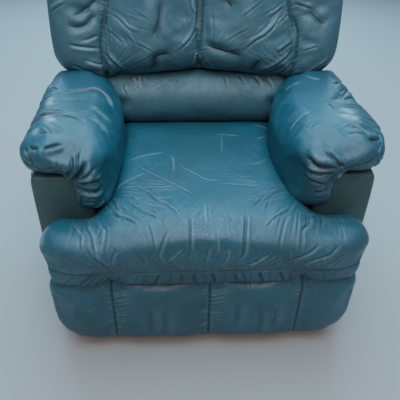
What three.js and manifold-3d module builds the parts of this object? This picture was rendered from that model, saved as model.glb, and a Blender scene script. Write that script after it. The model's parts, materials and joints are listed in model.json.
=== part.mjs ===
// An overstuffed leather reclining armchair with a lever-driven footrest, in millimetres.
// +Z is up and the sitter faces -Y, so the sitter's left is +X and right is -X.
// While it is built, y = 0 is just behind the front of the shut footrest. At the end the whole
// chair is shifted so that the origin is the middle of its footprint, on the floor.
import * as THREE from "three";
import { RoundedBoxGeometry } from "three/addons/geometries/RoundedBoxGeometry.js";
import { mergeVertices } from "three/addons/utils/BufferGeometryUtils.js";
import Module from "manifold-3d";

const wasm = await Module();
wasm.setup();

// ---- Driving dimensions ----------------------------------------------------------------------
const GAP = 0.4; // between pieces that touch
const SEAT_HALF = 258; // half the seat's width between the arm pads
const FRONT_HALF = 430; // half the width of the seat's front roll and wings
const SEAT_FRONT = -62;
const SEAT_REAR = 598;
const SEAT_BOTTOM = 345;
const SEAT_TOP = 486;
const ROLL_BOTTOM = 297;
const WING_TOP = 462;
const WING_REAR = 92;

const ARM_INNER = 300; // arm box, measured from the middle of the chair
const ARM_OUTER = 460;
const ARM_FRONT = 100;
const ARM_REAR = 700;
const ARM_BOTTOM = 46;
const ARM_TOP = 556;
const ARM_WALL = 6;
const PAD_INNER = 262; // arm pad
const PAD_OUTER = 497;
const PAD_TOP = 655;
const PAD_REAR = 646;
const DRAPE_BOTTOM = 466;

const FOOT_HEIGHT = 26;
const CROSS_TOP = 40;
const RAIL_OUTER = 243; // outer face of the seat rails and runners
const PLATE_X = 244; // inner face of the mechanism's side plates
const PLATE_THICK = 3;
const SEAT_RAIL_TOP = 338;

const HINGE = { y: 640, z: 330 }; // back hinge
const BACK_TILT = THREE.MathUtils.degToRad(14); // lean of the upright back

const LINK_LENGTH = 240;
const LINK_SPREAD = 50; // between the two parallel links' pivots
const COUPLER_ANGLE = THREE.MathUtils.degToRad(27); // the coupler keeps this slope
const LINK_ANGLE = THREE.MathUtils.degToRad(-116); // parallel links with the footrest shut
const WRIST = { y: 90, z: 190 }; // pivot of the footrest bracket, shut
const TILT_CRANK = 37.4; // from the elbow pivot up the drive link to the tilt rod's pin
const TILT_ARM = 43.35; // from the wrist to the bracket's tilt pin
const TILT_ARM_ANGLE = THREE.MathUtils.degToRad(72);

// Layers of the mechanism, from the side plate outwards
const LINK_X = [249, 253];
const COUPLER_X = [255, 259];
const BRACKET_X = [261, 265];
const STUD_R = 5;
const STUD_HOLE_R = 5.6;
const OPEN_HOLE_R = 8;
const TUBE_R = 8;

const LEATHER = 0x2f6b78;
const LEATHER_DARK = 0x2d464a;
const WOOD = 0xb08a5a;
const STEEL = 0x4a4d50;

// ---- Shape helpers -----------------------------------------------------------------------------
/** A point (forward, up) from a start point, in side view: forward is -Y. */
function along(start, angle, length) {
  return { y: start.y - length * Math.cos(angle), z: start.z + length * Math.sin(angle) };
}

function box(x, y, z) {
  const geometry = new THREE.BoxGeometry(x[1] - x[0], y[1] - y[0], z[1] - z[0]);
  return geometry.translate((x[0] + x[1]) / 2, (y[0] + y[1]) / 2, (z[0] + z[1]) / 2);
}

function softBox(x, y, z, radius, segments = 3) {
  const geometry = new RoundedBoxGeometry(x[1] - x[0], y[1] - y[0], z[1] - z[0], segments, radius);
  return geometry.translate((x[0] + x[1]) / 2, (y[0] + y[1]) / 2, (z[0] + z[1]) / 2);
}

/** Turns a geometry drawn in (y, z) and extruded along its own z so that it runs along +X. */
function sideways(geometry, x0) {
  const basis = new THREE.Matrix4().makeBasis(
    new THREE.Vector3(0, 1, 0),
    new THREE.Vector3(0, 0, 1),
    new THREE.Vector3(1, 0, 0),
  );
  return geometry.applyMatrix4(basis).translate(x0, 0, 0);
}

/** A flat plate whose outline is drawn in (y, z), from x[0] to x[1]. */
function plate(shape, x, curveSegments = 6) {
  const settings = { depth: x[1] - x[0], bevelEnabled: false, curveSegments };
  return sideways(new THREE.ExtrudeGeometry(shape, settings), x[0]);
}

/** A rod along X. */
function rod(at, x, radius, sides = 20) {
  const geometry = new THREE.CylinderGeometry(radius, radius, x[1] - x[0], sides);
  return geometry.rotateZ(Math.PI / 2).translate((x[0] + x[1]) / 2, at.y, at.z);
}

function hole(at, radius) {
  return new THREE.Path().absarc(at.y, at.z, radius, 0, 2 * Math.PI, true);
}

/** The outline of a bar with round ends of radius rp at p and rq at q. */
function barShape(p, q, rp, rq, holes = []) {
  const angle = Math.atan2(q.z - p.z, q.y - p.y);
  const open = Math.acos((rp - rq) / Math.hypot(q.y - p.y, q.z - p.z));
  const shape = new THREE.Shape();
  shape.absarc(p.y, p.z, rp, angle + open, angle - open + 2 * Math.PI, false);
  shape.absarc(q.y, q.z, rq, angle - open, angle + open, false);
  shape.closePath();
  shape.holes.push(...holes);
  return shape;
}

function solidOf(geometry) {
  const flat = geometry.index ? geometry.toNonIndexed() : geometry.clone();
  flat.deleteAttribute("normal");
  flat.deleteAttribute("uv");
  const merged = mergeVertices(flat, 1e-3);
  return new wasm.Manifold(
    new wasm.Mesh({
      numProp: 3,
      vertProperties: merged.attributes.position.array,
      triVerts: new Uint32Array(merged.index.array),
    }),
  );
}

function geometryOf(solid) {
  const mesh = solid.getMesh();
  const geometry = new THREE.BufferGeometry();
  geometry.setAttribute("position", new THREE.BufferAttribute(mesh.vertProperties, 3));
  geometry.setIndex(new THREE.BufferAttribute(mesh.triVerts, 1));
  return geometry;
}

function join(...geometries) {
  return geometryOf(geometries.map(solidOf).reduce((a, b) => a.add(b)));
}

function cut(geometry, ...tools) {
  return geometryOf(tools.map(solidOf).reduce((a, b) => a.subtract(b), solidOf(geometry)));
}

function mesh(name, geometry, colour, roughness = 0.6, metalness = 0) {
  const material = new THREE.MeshStandardMaterial({ color: colour, roughness, metalness });
  const made = new THREE.Mesh(geometry, material);
  made.name = name;
  return made;
}

/** A piece on the sitter's left and its mirror image on the right. */
function pair(parent, name, geometry, colour, roughness, metalness) {
  const left = mesh(name + "_left", geometry, colour, roughness, metalness);
  const right = mesh(name + "_right", geometry, colour, roughness, metalness);
  right.scale.x = -1;
  parent.add(left, right);
}

/** The centre line of a zigzag spring wire, from start to end, swinging to both sides. */
class ZigzagWire extends THREE.Curve {
  constructor(start, end, side, swing, bends) {
    super();
    Object.assign(this, { start, end, side, swing, bends });
  }

  getPoint(t, target = new THREE.Vector3()) {
    const reach = this.swing * Math.sin(t * this.bends * Math.PI);
    return target.lerpVectors(this.start, this.end, t).addScaledVector(this.side, reach);
  }
}

function zigzagSpring(start, end, side) {
  const bends = 16;
  const section = new THREE.Shape().absarc(0, 0, 1.9, 0, 2 * Math.PI, false);
  const path = new ZigzagWire(start, end, side, 24, bends);
  return new THREE.ExtrudeGeometry(section, {
    steps: bends * 4,
    curveSegments: 3,
    bevelEnabled: false,
    extrudePath: path,
  });
}

// ---- Base: feet, runners, cross rails, seat rails and springs ------------------------------------
const CROSS_FRONT_Y = [116, 150];
const CROSS_REAR_Y = [636, 676];
const RUNNER_X = [200, RAIL_OUTER];
const SIDE_RAIL_Y = [101, 594];

function addBase(chair) {
  const footR = 22;
  for (const [end, cross] of [["front", CROSS_FRONT_Y], ["rear", CROSS_REAR_Y]]) {
    const geometry = new THREE.CylinderGeometry(footR, footR - 5, FOOT_HEIGHT - GAP, 24);
    geometry.rotateX(Math.PI / 2);
    geometry.translate(400, (cross[0] + cross[1]) / 2, (FOOT_HEIGHT - GAP) / 2);
    pair(chair, `foot_${end}`, geometry, 0x1c1c1c, 0.5);
    const rail = box([-450, 450], cross, [FOOT_HEIGHT, CROSS_TOP]);
    chair.add(mesh(`base_cross_${end}`, rail, WOOD));
  }
  const runner = box(RUNNER_X, [CROSS_FRONT_Y[0], CROSS_REAR_Y[1]], [CROSS_TOP + GAP, 84]);
  pair(chair, "base_runner", runner, WOOD);

  const sideRail = box([205, RAIL_OUTER], SIDE_RAIL_Y, [307, SEAT_RAIL_TOP]);
  pair(chair, "seat_side_rail", sideRail, WOOD);
  const span = [-RAIL_OUTER, RAIL_OUTER];
  const frontRail = box(span, [78, SIDE_RAIL_Y[0] - GAP], [ROLL_BOTTOM - 20, SEAT_RAIL_TOP]);
  chair.add(mesh("seat_front_rail", cut(frontRail, rollKeepOut()), WOOD));
  const rearRail = box(span, [SIDE_RAIL_Y[1] + GAP, 617], [300, SEAT_RAIL_TOP]);
  chair.add(mesh("seat_rear_rail", rearRail, WOOD));

  const wireZ = SEAT_RAIL_TOP + 2.6;
  const springX = 46;
  for (const [i, x] of [-3, -1, 1, 3].map((n) => n * springX).entries()) {
    const start = new THREE.Vector3(x, 95, wireZ);
    const end = new THREE.Vector3(x, 606, wireZ);
    const wire = zigzagSpring(start, end, new THREE.Vector3(1, 0, 0));
    chair.add(mesh(`seat_spring_${i + 1}`, wire, STEEL, 0.4, 0.8));
  }
}

/** The space of the seat's front roll behind its front face, which the front rail leaves free. */
function rollKeepOut() {
  return box([-500, 500], [SEAT_FRONT, WING_REAR + GAP], [ROLL_BOTTOM - GAP, SEAT_TOP]);
}

// ---- Seat cushion: a T-shaped pad whose front rolls down in front of the rails ---------------------
function addSeatCushion(chair) {
  const pad = softBox([-SEAT_HALF, SEAT_HALF], [0, SEAT_REAR], [SEAT_BOTTOM, SEAT_TOP], 45);
  const roll = softBox([-FRONT_HALF, FRONT_HALF], [SEAT_FRONT, WING_REAR], [ROLL_BOTTOM, WING_TOP], 50, 4);
  chair.add(mesh("seat_cushion", join(pad, roll), LEATHER));
}

// ---- Arms -------------------------------------------------------------------------------------------
/** The pivot of the drive tube, found back from the wrist along the coupler and the drive link. */
const ELBOW = along(WRIST, COUPLER_ANGLE, -LINK_LENGTH);
const DRIVE = along(ELBOW, LINK_ANGLE, -LINK_LENGTH);

function armBox(inset, bottom, top) {
  const [x0, x1] = [ARM_INNER + inset, ARM_OUTER - inset];
  const [y0, y1] = [ARM_FRONT + inset, ARM_REAR - inset];
  const r = 24 - inset;
  const outline = new THREE.Shape();
  outline.absarc(x1 - r, y1 - r, r, 0, Math.PI / 2, false);
  outline.absarc(x0 + r, y1 - r, r, Math.PI / 2, Math.PI, false);
  outline.absarc(x0 + r, y0 + r, r, Math.PI, 1.5 * Math.PI, false);
  outline.absarc(x1 - r, y0 + r, r, 1.5 * Math.PI, 2 * Math.PI, false);
  const settings = { depth: top - bottom, bevelEnabled: false, curveSegments: 3 };
  return new THREE.ExtrudeGeometry(outline, settings).translate(0, 0, bottom);
}

function addArms(chair) {
  const hollow = armBox(ARM_WALL, ARM_BOTTOM - 1, ARM_TOP - ARM_WALL);
  const shell = cut(armBox(0, ARM_BOTTOM, ARM_TOP), hollow);
  const tubeHole = rod(DRIVE, [ARM_INNER - 20, ARM_OUTER + 20], 14);
  chair.add(mesh("arm_cover_left", shell, LEATHER_DARK));
  const right = mesh("arm_cover_right", cut(shell, tubeHole), LEATHER_DARK);
  right.scale.x = -1;
  chair.add(right);

  const inX = [ARM_INNER + ARM_WALL + 5, ARM_OUTER - ARM_WALL - 5];
  const foot = CROSS_TOP + GAP;
  const underTop = ARM_TOP - ARM_WALL - GAP;
  const [postFront, postRear] = [
    [ARM_FRONT + 17, ARM_FRONT + 39],
    [ARM_REAR - 50, ARM_REAR - 28],
  ];
  pair(chair, "arm_front_post", box(inX, postFront, [foot, underTop]), WOOD);
  pair(chair, "arm_rear_post", box(inX, postRear, [foot, underTop]), WOOD);
  const between = [postFront[1] + GAP, postRear[0] - GAP];
  pair(chair, "arm_top_rail", box([350, 410], between, [underTop - 25, underTop]), WOOD);
  pair(chair, "arm_bottom_rail", box([inX[1] - 22, inX[1]], between, [90, 150]), WOOD);

  // The pad lies over the box, drapes down its inner side and hangs in a lobe over its front.
  const top = softBox([PAD_INNER, PAD_OUTER], [108, PAD_REAR], [545, PAD_TOP], 52);
  const drape = softBox([PAD_INNER, 350], [96, PAD_REAR - 6], [DRAPE_BOTTOM, 640], 36);
  const lobe = new THREE.Shape();
  lobe.moveTo(PAD_INNER + 22, 600);
  lobe.lineTo(PAD_INNER + 22, DRAPE_BOTTOM + 50);
  lobe.quadraticCurveTo(PAD_INNER + 24, DRAPE_BOTTOM + 22, 318, DRAPE_BOTTOM + 22);
  lobe.quadraticCurveTo(358, DRAPE_BOTTOM + 24, 392, 552);
  lobe.lineTo(460, 574);
  lobe.lineTo(460, 610);
  lobe.closePath();
  const settings = { depth: 60, bevelSize: 20, bevelThickness: 20, bevelSegments: 2, curveSegments: 4 };
  const front = new THREE.ExtrudeGeometry(lobe, settings);
  front.rotateX(Math.PI / 2).translate(0, 156, 0);
  const boxSpace = box(
    [ARM_INNER - GAP, ARM_OUTER + GAP],
    [ARM_FRONT - GAP, ARM_REAR + GAP],
    [ARM_BOTTOM, ARM_TOP + GAP],
  );
  pair(chair, "arm_pad", cut(join(top, drape, front), boxSpace), LEATHER);
}

// ---- Mechanism: side plates, drive tube and lever, links and footrest -------------------------------
const FOLLOWER_PIVOT = along(DRIVE, COUPLER_ANGLE, -LINK_SPREAD);
const FOLLOWER_ELBOW = along(ELBOW, COUPLER_ANGLE, -LINK_SPREAD);
const TILT_PIN = along(ELBOW, LINK_ANGLE, -TILT_CRANK);
const BRACKET_PIN = along(WRIST, TILT_ARM_ANGLE, TILT_ARM);
const LEVER_ANGLE = THREE.MathUtils.degToRad(93);
const LEVER_LENGTH = 96;
const GRIP_LENGTH = 84;

function addSidePlates(chair) {
  const shape = new THREE.Shape();
  shape.moveTo(126, 86);
  shape.lineTo(HINGE.y + 14, 86);
  shape.absarc(HINGE.y, HINGE.z, 14, 0, Math.PI / 2, false);
  shape.lineTo(600, 340);
  shape.quadraticCurveTo(520, 312, 420, 250);
  shape.lineTo(300, 250);
  shape.quadraticCurveTo(280, 320, 200, 325);
  shape.quadraticCurveTo(150, 325, 126, 240);
  shape.closePath();
  shape.holes.push(hole(DRIVE, TUBE_R + 1));
  const x = [PLATE_X, PLATE_X + PLATE_THICK];
  // Tabs reach down inside the plane of the runner's outer face, and two studs are riveted in.
  const footing = box(x, [126, HINGE.y + 14], [50, 87]);
  const followerStud = rod(FOLLOWER_PIVOT, [x[0] + 1, LINK_X[1] + 1], STUD_R);
  const hingeStud = rod(HINGE, [238, x[1] - 1], STUD_R + 1);
  const solid = join(plate(shape, x), footing, followerStud, hingeStud);
  pair(chair, "side_plate", solid, STEEL, 0.5, 0.7);
}

function addDrive(chair) {
  const linkShape = barShape(DRIVE, ELBOW, 15, 10, [hole(DRIVE, TUBE_R + GAP)]);
  const stud = [LINK_X[1] - 1, COUPLER_X[1] + 1];
  const link = join(plate(linkShape, LINK_X), rod(ELBOW, stud, STUD_R), rod(TILT_PIN, stud, STUD_R));
  pair(chair, "drive_link", link, STEEL, 0.5, 0.7);
  const tubeEnd = -472;
  chair.add(mesh("drive_tube", rod(DRIVE, [tubeEnd, LINK_X[1] + 3], TUBE_R), STEEL, 0.5, 0.7));

  const leverTip = along(DRIVE, LEVER_ANGLE, LEVER_LENGTH);
  const lever = plate(barShape(DRIVE, leverTip, 15, 10), [tubeEnd - 6, tubeEnd - GAP]);
  chair.add(mesh("lever_arm", lever, STEEL, 0.4, 0.8));
  const gripFrom = along(DRIVE, LEVER_ANGLE, LEVER_LENGTH + 14 + GAP);
  const gripTo = along(gripFrom, LEVER_ANGLE, GRIP_LENGTH);
  const grip = barShape(gripFrom, gripTo, 12, 17);
  const settings = { depth: 8, bevelSize: 4, bevelThickness: 4, bevelSegments: 2, curveSegments: 5 };
  const gripGeometry = new THREE.ExtrudeGeometry(grip, settings);
  const tang = plate(barShape(leverTip, gripFrom, 4, 4), [tubeEnd - 5, tubeEnd - 1]);
  const levelGrip = cut(
    join(sideways(gripGeometry, tubeEnd - 9), tang),
    plate(barShape(DRIVE, leverTip, 15 + GAP, 10 + GAP), [tubeEnd - 10, tubeEnd + 4]),
  );
  chair.add(mesh("lever_grip", levelGrip, 0x3a2a1c, 0.4));
}

function addLinks(chair) {
  const followerShape = barShape(FOLLOWER_PIVOT, FOLLOWER_ELBOW, 10, 9, [hole(FOLLOWER_PIVOT, STUD_HOLE_R)]);
  const elbowStud = rod(FOLLOWER_ELBOW, [LINK_X[1] - 1, COUPLER_X[1] + 1], STUD_R);
  pair(chair, "follower_link", join(plate(followerShape, LINK_X), elbowStud), STEEL, 0.5, 0.7);

  const couplerHoles = [hole(ELBOW, STUD_HOLE_R), hole(FOLLOWER_ELBOW, STUD_HOLE_R)];
  const couplerShape = barShape(FOLLOWER_ELBOW, WRIST, 9, 10, couplerHoles);
  const wristStud = rod(WRIST, [COUPLER_X[1] - 1, BRACKET_X[1] + 1], STUD_R);
  pair(chair, "coupler", join(plate(couplerShape, COUPLER_X), wristStud), STEEL, 0.5, 0.7);

  const rodHoles = [hole(TILT_PIN, STUD_HOLE_R), hole(BRACKET_PIN, OPEN_HOLE_R)];
  const rodShape = barShape(TILT_PIN, BRACKET_PIN, 8, 12, rodHoles);
  pair(chair, "tilt_rod", plate(rodShape, COUPLER_X), STEEL, 0.5, 0.7);
}

const BOARD_BACK = 61;
const BOARD_THICK = 12;
const BOARD_Z = [54, 276];
const FOOT_PAD_FRONT = -12;
const FOOT_PAD_Z = [40, 287];
const FOOT_PAD_HALF = 435;

/** The outline of the footrest in (x, z): nearly square at the top and well rounded below. */
function footrestShape(half, z, topR, bottomR) {
  const shape = new THREE.Shape();
  shape.absarc(half - topR, z[1] - topR, topR, 0, Math.PI / 2, false);
  shape.absarc(topR - half, z[1] - topR, topR, Math.PI / 2, Math.PI, false);
  shape.absarc(bottomR - half, z[0] + bottomR, bottomR, Math.PI, 1.5 * Math.PI, false);
  shape.absarc(half - bottomR, z[0] + bottomR, bottomR, 1.5 * Math.PI, 2 * Math.PI, false);
  return shape;
}

function addFootrest(chair) {
  const ear = barShape(WRIST, BRACKET_PIN, 12, 10, [hole(WRIST, STUD_HOLE_R)]);
  const arm = box(BRACKET_X, [BOARD_BACK + GAP + 1, WRIST.y - 6], [WRIST.z - 4, BRACKET_PIN.z]);
  const flange = box([BRACKET_X[0], 290], [BOARD_BACK + GAP, BOARD_BACK + GAP + 3], [WRIST.z - 70, WRIST.z + 70]);
  const clearance = rod(WRIST, [BRACKET_X[0] - 1, BRACKET_X[1] + 1], STUD_HOLE_R);
  const tiltStud = rod(BRACKET_PIN, [COUPLER_X[0] - 1, BRACKET_X[0] + 1], STUD_R);
  const bracket = join(cut(join(plate(ear, BRACKET_X), arm), clearance), flange, tiltStud);
  pair(chair, "footrest_bracket", bracket, STEEL, 0.5, 0.7);

  const boardShape = footrestShape(FOOT_PAD_HALF - 28, BOARD_Z, 12, 84);
  const board = new THREE.ExtrudeGeometry(boardShape, {
    depth: BOARD_THICK,
    bevelEnabled: false,
    curveSegments: 5,
  });
  chair.add(mesh("footrest_board", board.rotateX(Math.PI / 2).translate(0, BOARD_BACK, 0), WOOD));

  const rounding = 28;
  const inner = [FOOT_PAD_Z[0] + rounding, FOOT_PAD_Z[1] - rounding];
  const padShape = footrestShape(FOOT_PAD_HALF - rounding, inner, 10, 78);
  const padBack = BOARD_BACK - BOARD_THICK - GAP;
  const pad = new THREE.ExtrudeGeometry(padShape, {
    depth: padBack - FOOT_PAD_FRONT - 2 * rounding,
    bevelSize: rounding,
    bevelThickness: rounding,
    bevelSegments: 4,
    curveSegments: 5,
  });
  pad.rotateX(Math.PI / 2).translate(0, padBack - rounding, 0);
  chair.add(mesh("footrest_pad", pad, LEATHER));
}

// ---- Back: built upright about its hinge, then leaned back ------------------------------------------
const FRAME_Y = [-10, 14]; // the timber frame's front and rear faces
const POST_X = [214, 240];
const BACK_TOP = 662;
const WAIST = 316; // where the back widens over the arms
const WING_HALF = 430;
const PILLOW_HALF = 465;

function addBack(chair) {
  const back = new THREE.Group();
  back.position.set(0, HINGE.y, HINGE.z);
  back.rotation.x = -BACK_TILT;
  chair.add(back);

  const pin = { y: 0, z: 0 };
  const bracketShape = barShape(pin, { y: 2, z: 190 }, 12, 11, [hole(pin, STUD_HOLE_R + 1.2)]);
  pair(back, "back_bracket", plate(bracketShape, [POST_X[1] + GAP, PLATE_X - GAP]), STEEL, 0.5, 0.7);
  const wide = [-WING_HALF, WING_HALF];
  const letIn = box(wide, [FRAME_Y[1] - 12, FRAME_Y[1]], [WAIST + 14, WAIST + 58]);
  const post = box(POST_X, FRAME_Y, [24, BACK_TOP - 60 - GAP]);
  const notch = box([POST_X[0] - 1, POST_X[1] + 1], [FRAME_Y[1] - 12 - GAP, 50], [WAIST + 14 - GAP, WAIST + 58 + GAP]);
  pair(back, "back_post", cut(post, notch), WOOD);
  back.add(mesh("back_top_rail", box(wide, FRAME_Y, [BACK_TOP - 60, BACK_TOP]), WOOD));
  back.add(mesh("back_middle_rail", letIn, WOOD));
  const between = [-POST_X[0] + GAP, POST_X[0] - GAP];
  back.add(mesh("back_bottom_rail", box(between, FRAME_Y, [40, 90]), WOOD));
  for (const [i, x] of [-110, 0, 110].entries()) {
    const start = new THREE.Vector3(x, FRAME_Y[0] - 2.6, 60);
    const end = new THREE.Vector3(x, FRAME_Y[0] - 2.6, BACK_TOP - 30);
    const wire = zigzagSpring(start, end, new THREE.Vector3(1, 0, 0));
    back.add(mesh(`back_spring_${i + 1}`, wire, STEEL, 0.4, 0.8));
  }

  // Cushions in front of the frame
  const rear = FRAME_Y[0] - 6;
  const pillow = softBox([-PILLOW_HALF, PILLOW_HALF], [-166, rear], [WAIST, BACK_TOP + 32], 60, 4);
  back.add(mesh("back_pillow", pillow, LEATHER));
  const lumbar = new THREE.Shape();
  lumbar.moveTo(-234, 160);
  lumbar.lineTo(234, 160);
  lumbar.lineTo(234, WAIST - 24);
  lumbar.lineTo(-234, WAIST - 24);
  lumbar.closePath();
  const rounding = 22;
  const roll = new THREE.ExtrudeGeometry(lumbar, {
    depth: rear + 130 - 2 * rounding,
    bevelSize: rounding,
    bevelThickness: rounding,
    bevelSegments: 3,
  });
  roll.rotateX(Math.PI / 2).translate(0, rear - rounding, 0);
  back.add(mesh("lumbar_roll", roll, LEATHER));

  // The outside cover: wide over the arms and narrow between them
  const cover = new THREE.Shape();
  const topR = 70;
  const coverTop = BACK_TOP + 22;
  const narrow = ARM_INNER - 9;
  cover.moveTo(-narrow, 8);
  cover.lineTo(narrow, 8);
  cover.lineTo(narrow, WAIST + 4);
  cover.lineTo(PILLOW_HALF - 4, WAIST + 4);
  cover.absarc(PILLOW_HALF - 4 - topR, coverTop - topR, topR, 0, Math.PI / 2, false);
  cover.absarc(topR - PILLOW_HALF + 4, coverTop - topR, topR, Math.PI / 2, Math.PI, false);
  cover.lineTo(4 - PILLOW_HALF, WAIST + 4);
  cover.lineTo(-narrow, WAIST + 4);
  cover.closePath();
  const coverGeometry = new THREE.ExtrudeGeometry(cover, { depth: 7, bevelEnabled: false, curveSegments: 5 });
  coverGeometry.rotateX(Math.PI / 2).translate(0, FRAME_Y[1] + GAP + 7, 0);
  back.add(mesh("back_cover", coverGeometry, LEATHER_DARK));
}

function addRearApron(chair) {
  const apron = box([-ARM_INNER + 2, ARM_INNER - 2], [688, 694], [60, 326]);
  chair.add(mesh("rear_apron", apron, LEATHER_DARK));
}

// ---- The chair ----------------------------------------------------------------------------------------
const chair = new THREE.Group();
addBase(chair);
addSidePlates(chair);
addSeatCushion(chair);
addArms(chair);
addRearApron(chair);
addDrive(chair);
addLinks(chair);
addFootrest(chair);
addBack(chair);

chair.updateMatrixWorld(true);
const footprint = new THREE.Box3().setFromObject(chair).getCenter(new THREE.Vector3());
chair.position.y = -footprint.y;

const armchair = new THREE.Group();
armchair.add(chair);
export default armchair;
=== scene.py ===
"""An overstuffed leather recliner: its cushions, covers, finishes, stage and camera."""

from __future__ import annotations

import json
import logging
import math
from dataclasses import dataclass
from enum import Enum
from typing import Sequence

import bmesh
import bpy
import numpy as np
from mathutils import Matrix, Vector
from mathutils.bvhtree import BVHTree


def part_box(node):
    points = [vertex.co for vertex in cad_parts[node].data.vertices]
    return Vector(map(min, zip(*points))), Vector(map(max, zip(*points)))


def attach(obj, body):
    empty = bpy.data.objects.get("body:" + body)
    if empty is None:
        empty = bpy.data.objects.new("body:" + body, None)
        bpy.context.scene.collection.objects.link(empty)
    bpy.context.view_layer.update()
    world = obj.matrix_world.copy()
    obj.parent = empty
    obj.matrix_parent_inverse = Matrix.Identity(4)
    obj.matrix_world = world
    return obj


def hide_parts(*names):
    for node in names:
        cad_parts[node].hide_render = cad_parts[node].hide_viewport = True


log = logging.getLogger("armchair")

Array = np.ndarray
Point = tuple[float, float, float]
Colour = tuple[float, float, float, float]

BACK_TILT = math.radians(14.0)
LEATHER_WALL = 0.004
FINE_VOXEL = 0.005


class Body(Enum):
    """The moving bodies that pieces ride on."""

    BASE = "base"
    BACK = "back"
    FOOTREST = "footrest"


class Slot(Enum):
    """The record's material slots."""

    CUSHION = "cushion_leather"
    COVER = "cover_leather"
    FRAME = "frame_wood"
    GRIP = "grip_wood"
    MECHANISM = "mechanism_steel"
    SPRING = "spring_steel"
    GLIDE = "glide_plastic"


# ---- Small tools ---------------------------------------------------------------------------------


def deselect() -> None:
    """Leaves object mode with nothing selected."""
    if bpy.context.mode != "OBJECT":
        bpy.ops.object.mode_set(mode="OBJECT")
    bpy.ops.object.select_all(action="DESELECT")


def activate(obj: bpy.types.Object) -> None:
    """Makes one object the only selected and active one."""
    deselect()
    obj.select_set(True)
    bpy.context.view_layer.objects.active = obj


def smoothstep(low: float, high: float, value: Array) -> Array:
    """A smooth step from 0 at low to 1 at high.

    Args:
        low: Where the step starts.
        high: Where it ends; it may be below low.
        value: The values to step.

    Returns:
        Values from 0 to 1.
    """
    t = np.clip((value - low) / (high - low), 0.0, 1.0)
    return t * t * (3.0 - 2.0 * t)


def bell(value: Array, centre: float, width: float) -> Array:
    """A Gaussian hump of height 1 at centre."""
    return np.exp(-(((value - centre) / width) ** 2))


def apply_modifier(obj: bpy.types.Object, kind: str, **settings: object) -> None:
    """Adds a modifier, sets it and applies it.

    Args:
        obj: The mesh object.
        kind: The modifier's type, such as "BEVEL".
        **settings: Its properties.
    """
    activate(obj)
    modifier = obj.modifiers.new(kind.title(), kind)
    for key, value in settings.items():
        setattr(modifier, key, value)
    bpy.ops.object.modifier_apply(modifier=modifier.name)


def block(name: str, low: Point, high: Point, bevel: float = 0.0, segments: int = 4) -> bpy.types.Object:
    """A box with rounded edges between two corners, with its place in its mesh.

    Args:
        name: The new object's name.
        low: Lowest corner.
        high: Highest corner.
        bevel: Radius of the edges, or 0.
        segments: Segments of the rounding.

    Returns:
        The new object.
    """
    deselect()
    bpy.ops.mesh.primitive_cube_add(size=1.0)
    obj = bpy.context.object
    obj.name = obj.data.name = name
    size = [h - l for l, h in zip(low, high)]
    bpy.ops.transform.resize(value=size)
    bpy.ops.transform.translate(value=[(h + l) / 2 for l, h in zip(low, high)])
    bpy.ops.object.transform_apply(location=True, rotation=True, scale=True)
    if bevel:
        apply_modifier(obj, "BEVEL", width=bevel, segments=segments, limit_method="NONE")
    return obj


def join(name: str, parts: Sequence[bpy.types.Object]) -> bpy.types.Object:
    """Joins meshes into one object.

    Args:
        name: The joined object's name.
        parts: The objects to join.

    Returns:
        The joined object.
    """
    deselect()
    for part in parts:
        part.select_set(True)
    bpy.context.view_layer.objects.active = parts[0]
    bpy.ops.object.join()
    obj = bpy.context.object
    obj.name = obj.data.name = name
    return obj


class Upright:
    """The back's own frame: upright about its hinge, before it leans back."""

    def __init__(self) -> None:
        """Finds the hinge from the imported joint."""
        joint = next(j for j in frame["joints"] if j["name"] == "back_recline")
        self.matrix = Matrix.Translation(Vector(joint["pos_m"])) @ Matrix.Rotation(-BACK_TILT, 4, "X")

    def lean(self, obj: bpy.types.Object) -> None:
        """Leans a mesh that was modelled upright about the hinge."""
        obj.data.transform(self.matrix)


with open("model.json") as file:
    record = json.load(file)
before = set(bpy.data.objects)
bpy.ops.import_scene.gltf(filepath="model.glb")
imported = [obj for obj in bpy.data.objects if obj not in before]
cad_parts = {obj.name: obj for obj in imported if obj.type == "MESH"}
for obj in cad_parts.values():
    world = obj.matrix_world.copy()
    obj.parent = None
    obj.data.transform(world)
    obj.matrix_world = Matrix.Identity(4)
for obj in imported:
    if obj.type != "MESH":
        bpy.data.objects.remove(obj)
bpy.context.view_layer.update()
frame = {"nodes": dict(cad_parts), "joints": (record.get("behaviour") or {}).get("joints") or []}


# ---- Shaping in code -------------------------------------------------------------------------------


@dataclass(frozen=True)
class Fold:
    """A crease in leather: a valley along a path, with a raised lip beside it.

    Attributes:
        path: Points near the surface, joined by a smooth curve.
        width: Half-width of the valley in metres.
        depth: Depth of the valley in metres.
        lip: Height of the lip as a share of the depth; its sign says which side it is on.
        fade: Shares of the length over which the fold fades in and out.
        wear: How far the lip's finish is rubbed pale, from 0 to 1.
    """

    path: Sequence[Point]
    width: float = 0.005
    depth: float = 0.004
    lip: float = 0.7
    fade: tuple[float, float] = (0.3, 0.3)
    wear: float = 0.0


def smooth_path(points: Sequence[Point], step: float = 0.008) -> Array:
    """Samples a Catmull-Rom curve through some points.

    Args:
        points: The points that it passes through.
        step: Rough spacing of the samples in metres.

    Returns:
        An (m, 3) array of samples.
    """
    given = np.array(points, float)
    if len(given) < 3:
        count = max(2, int(np.linalg.norm(given[-1] - given[0]) / step))
        return given[0] + (given[-1] - given[0]) * np.linspace(0.0, 1.0, count)[:, None]
    ends = np.vstack([2 * given[0] - given[1], given, 2 * given[-1] - given[-2]])
    samples = []
    for a, b, c, d in zip(ends, ends[1:], ends[2:], ends[3:]):
        count = max(2, int(np.linalg.norm(c - b) / step))
        t = np.linspace(0.0, 1.0, count, endpoint=False)[:, None]
        curve = 2 * b + (c - a) * t + (2 * a - 5 * b + 4 * c - d) * t**2 + (3 * b - a - 3 * c + d) * t**3
        samples.append(curve / 2)
    return np.vstack([*samples, given[-1:]])


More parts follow.
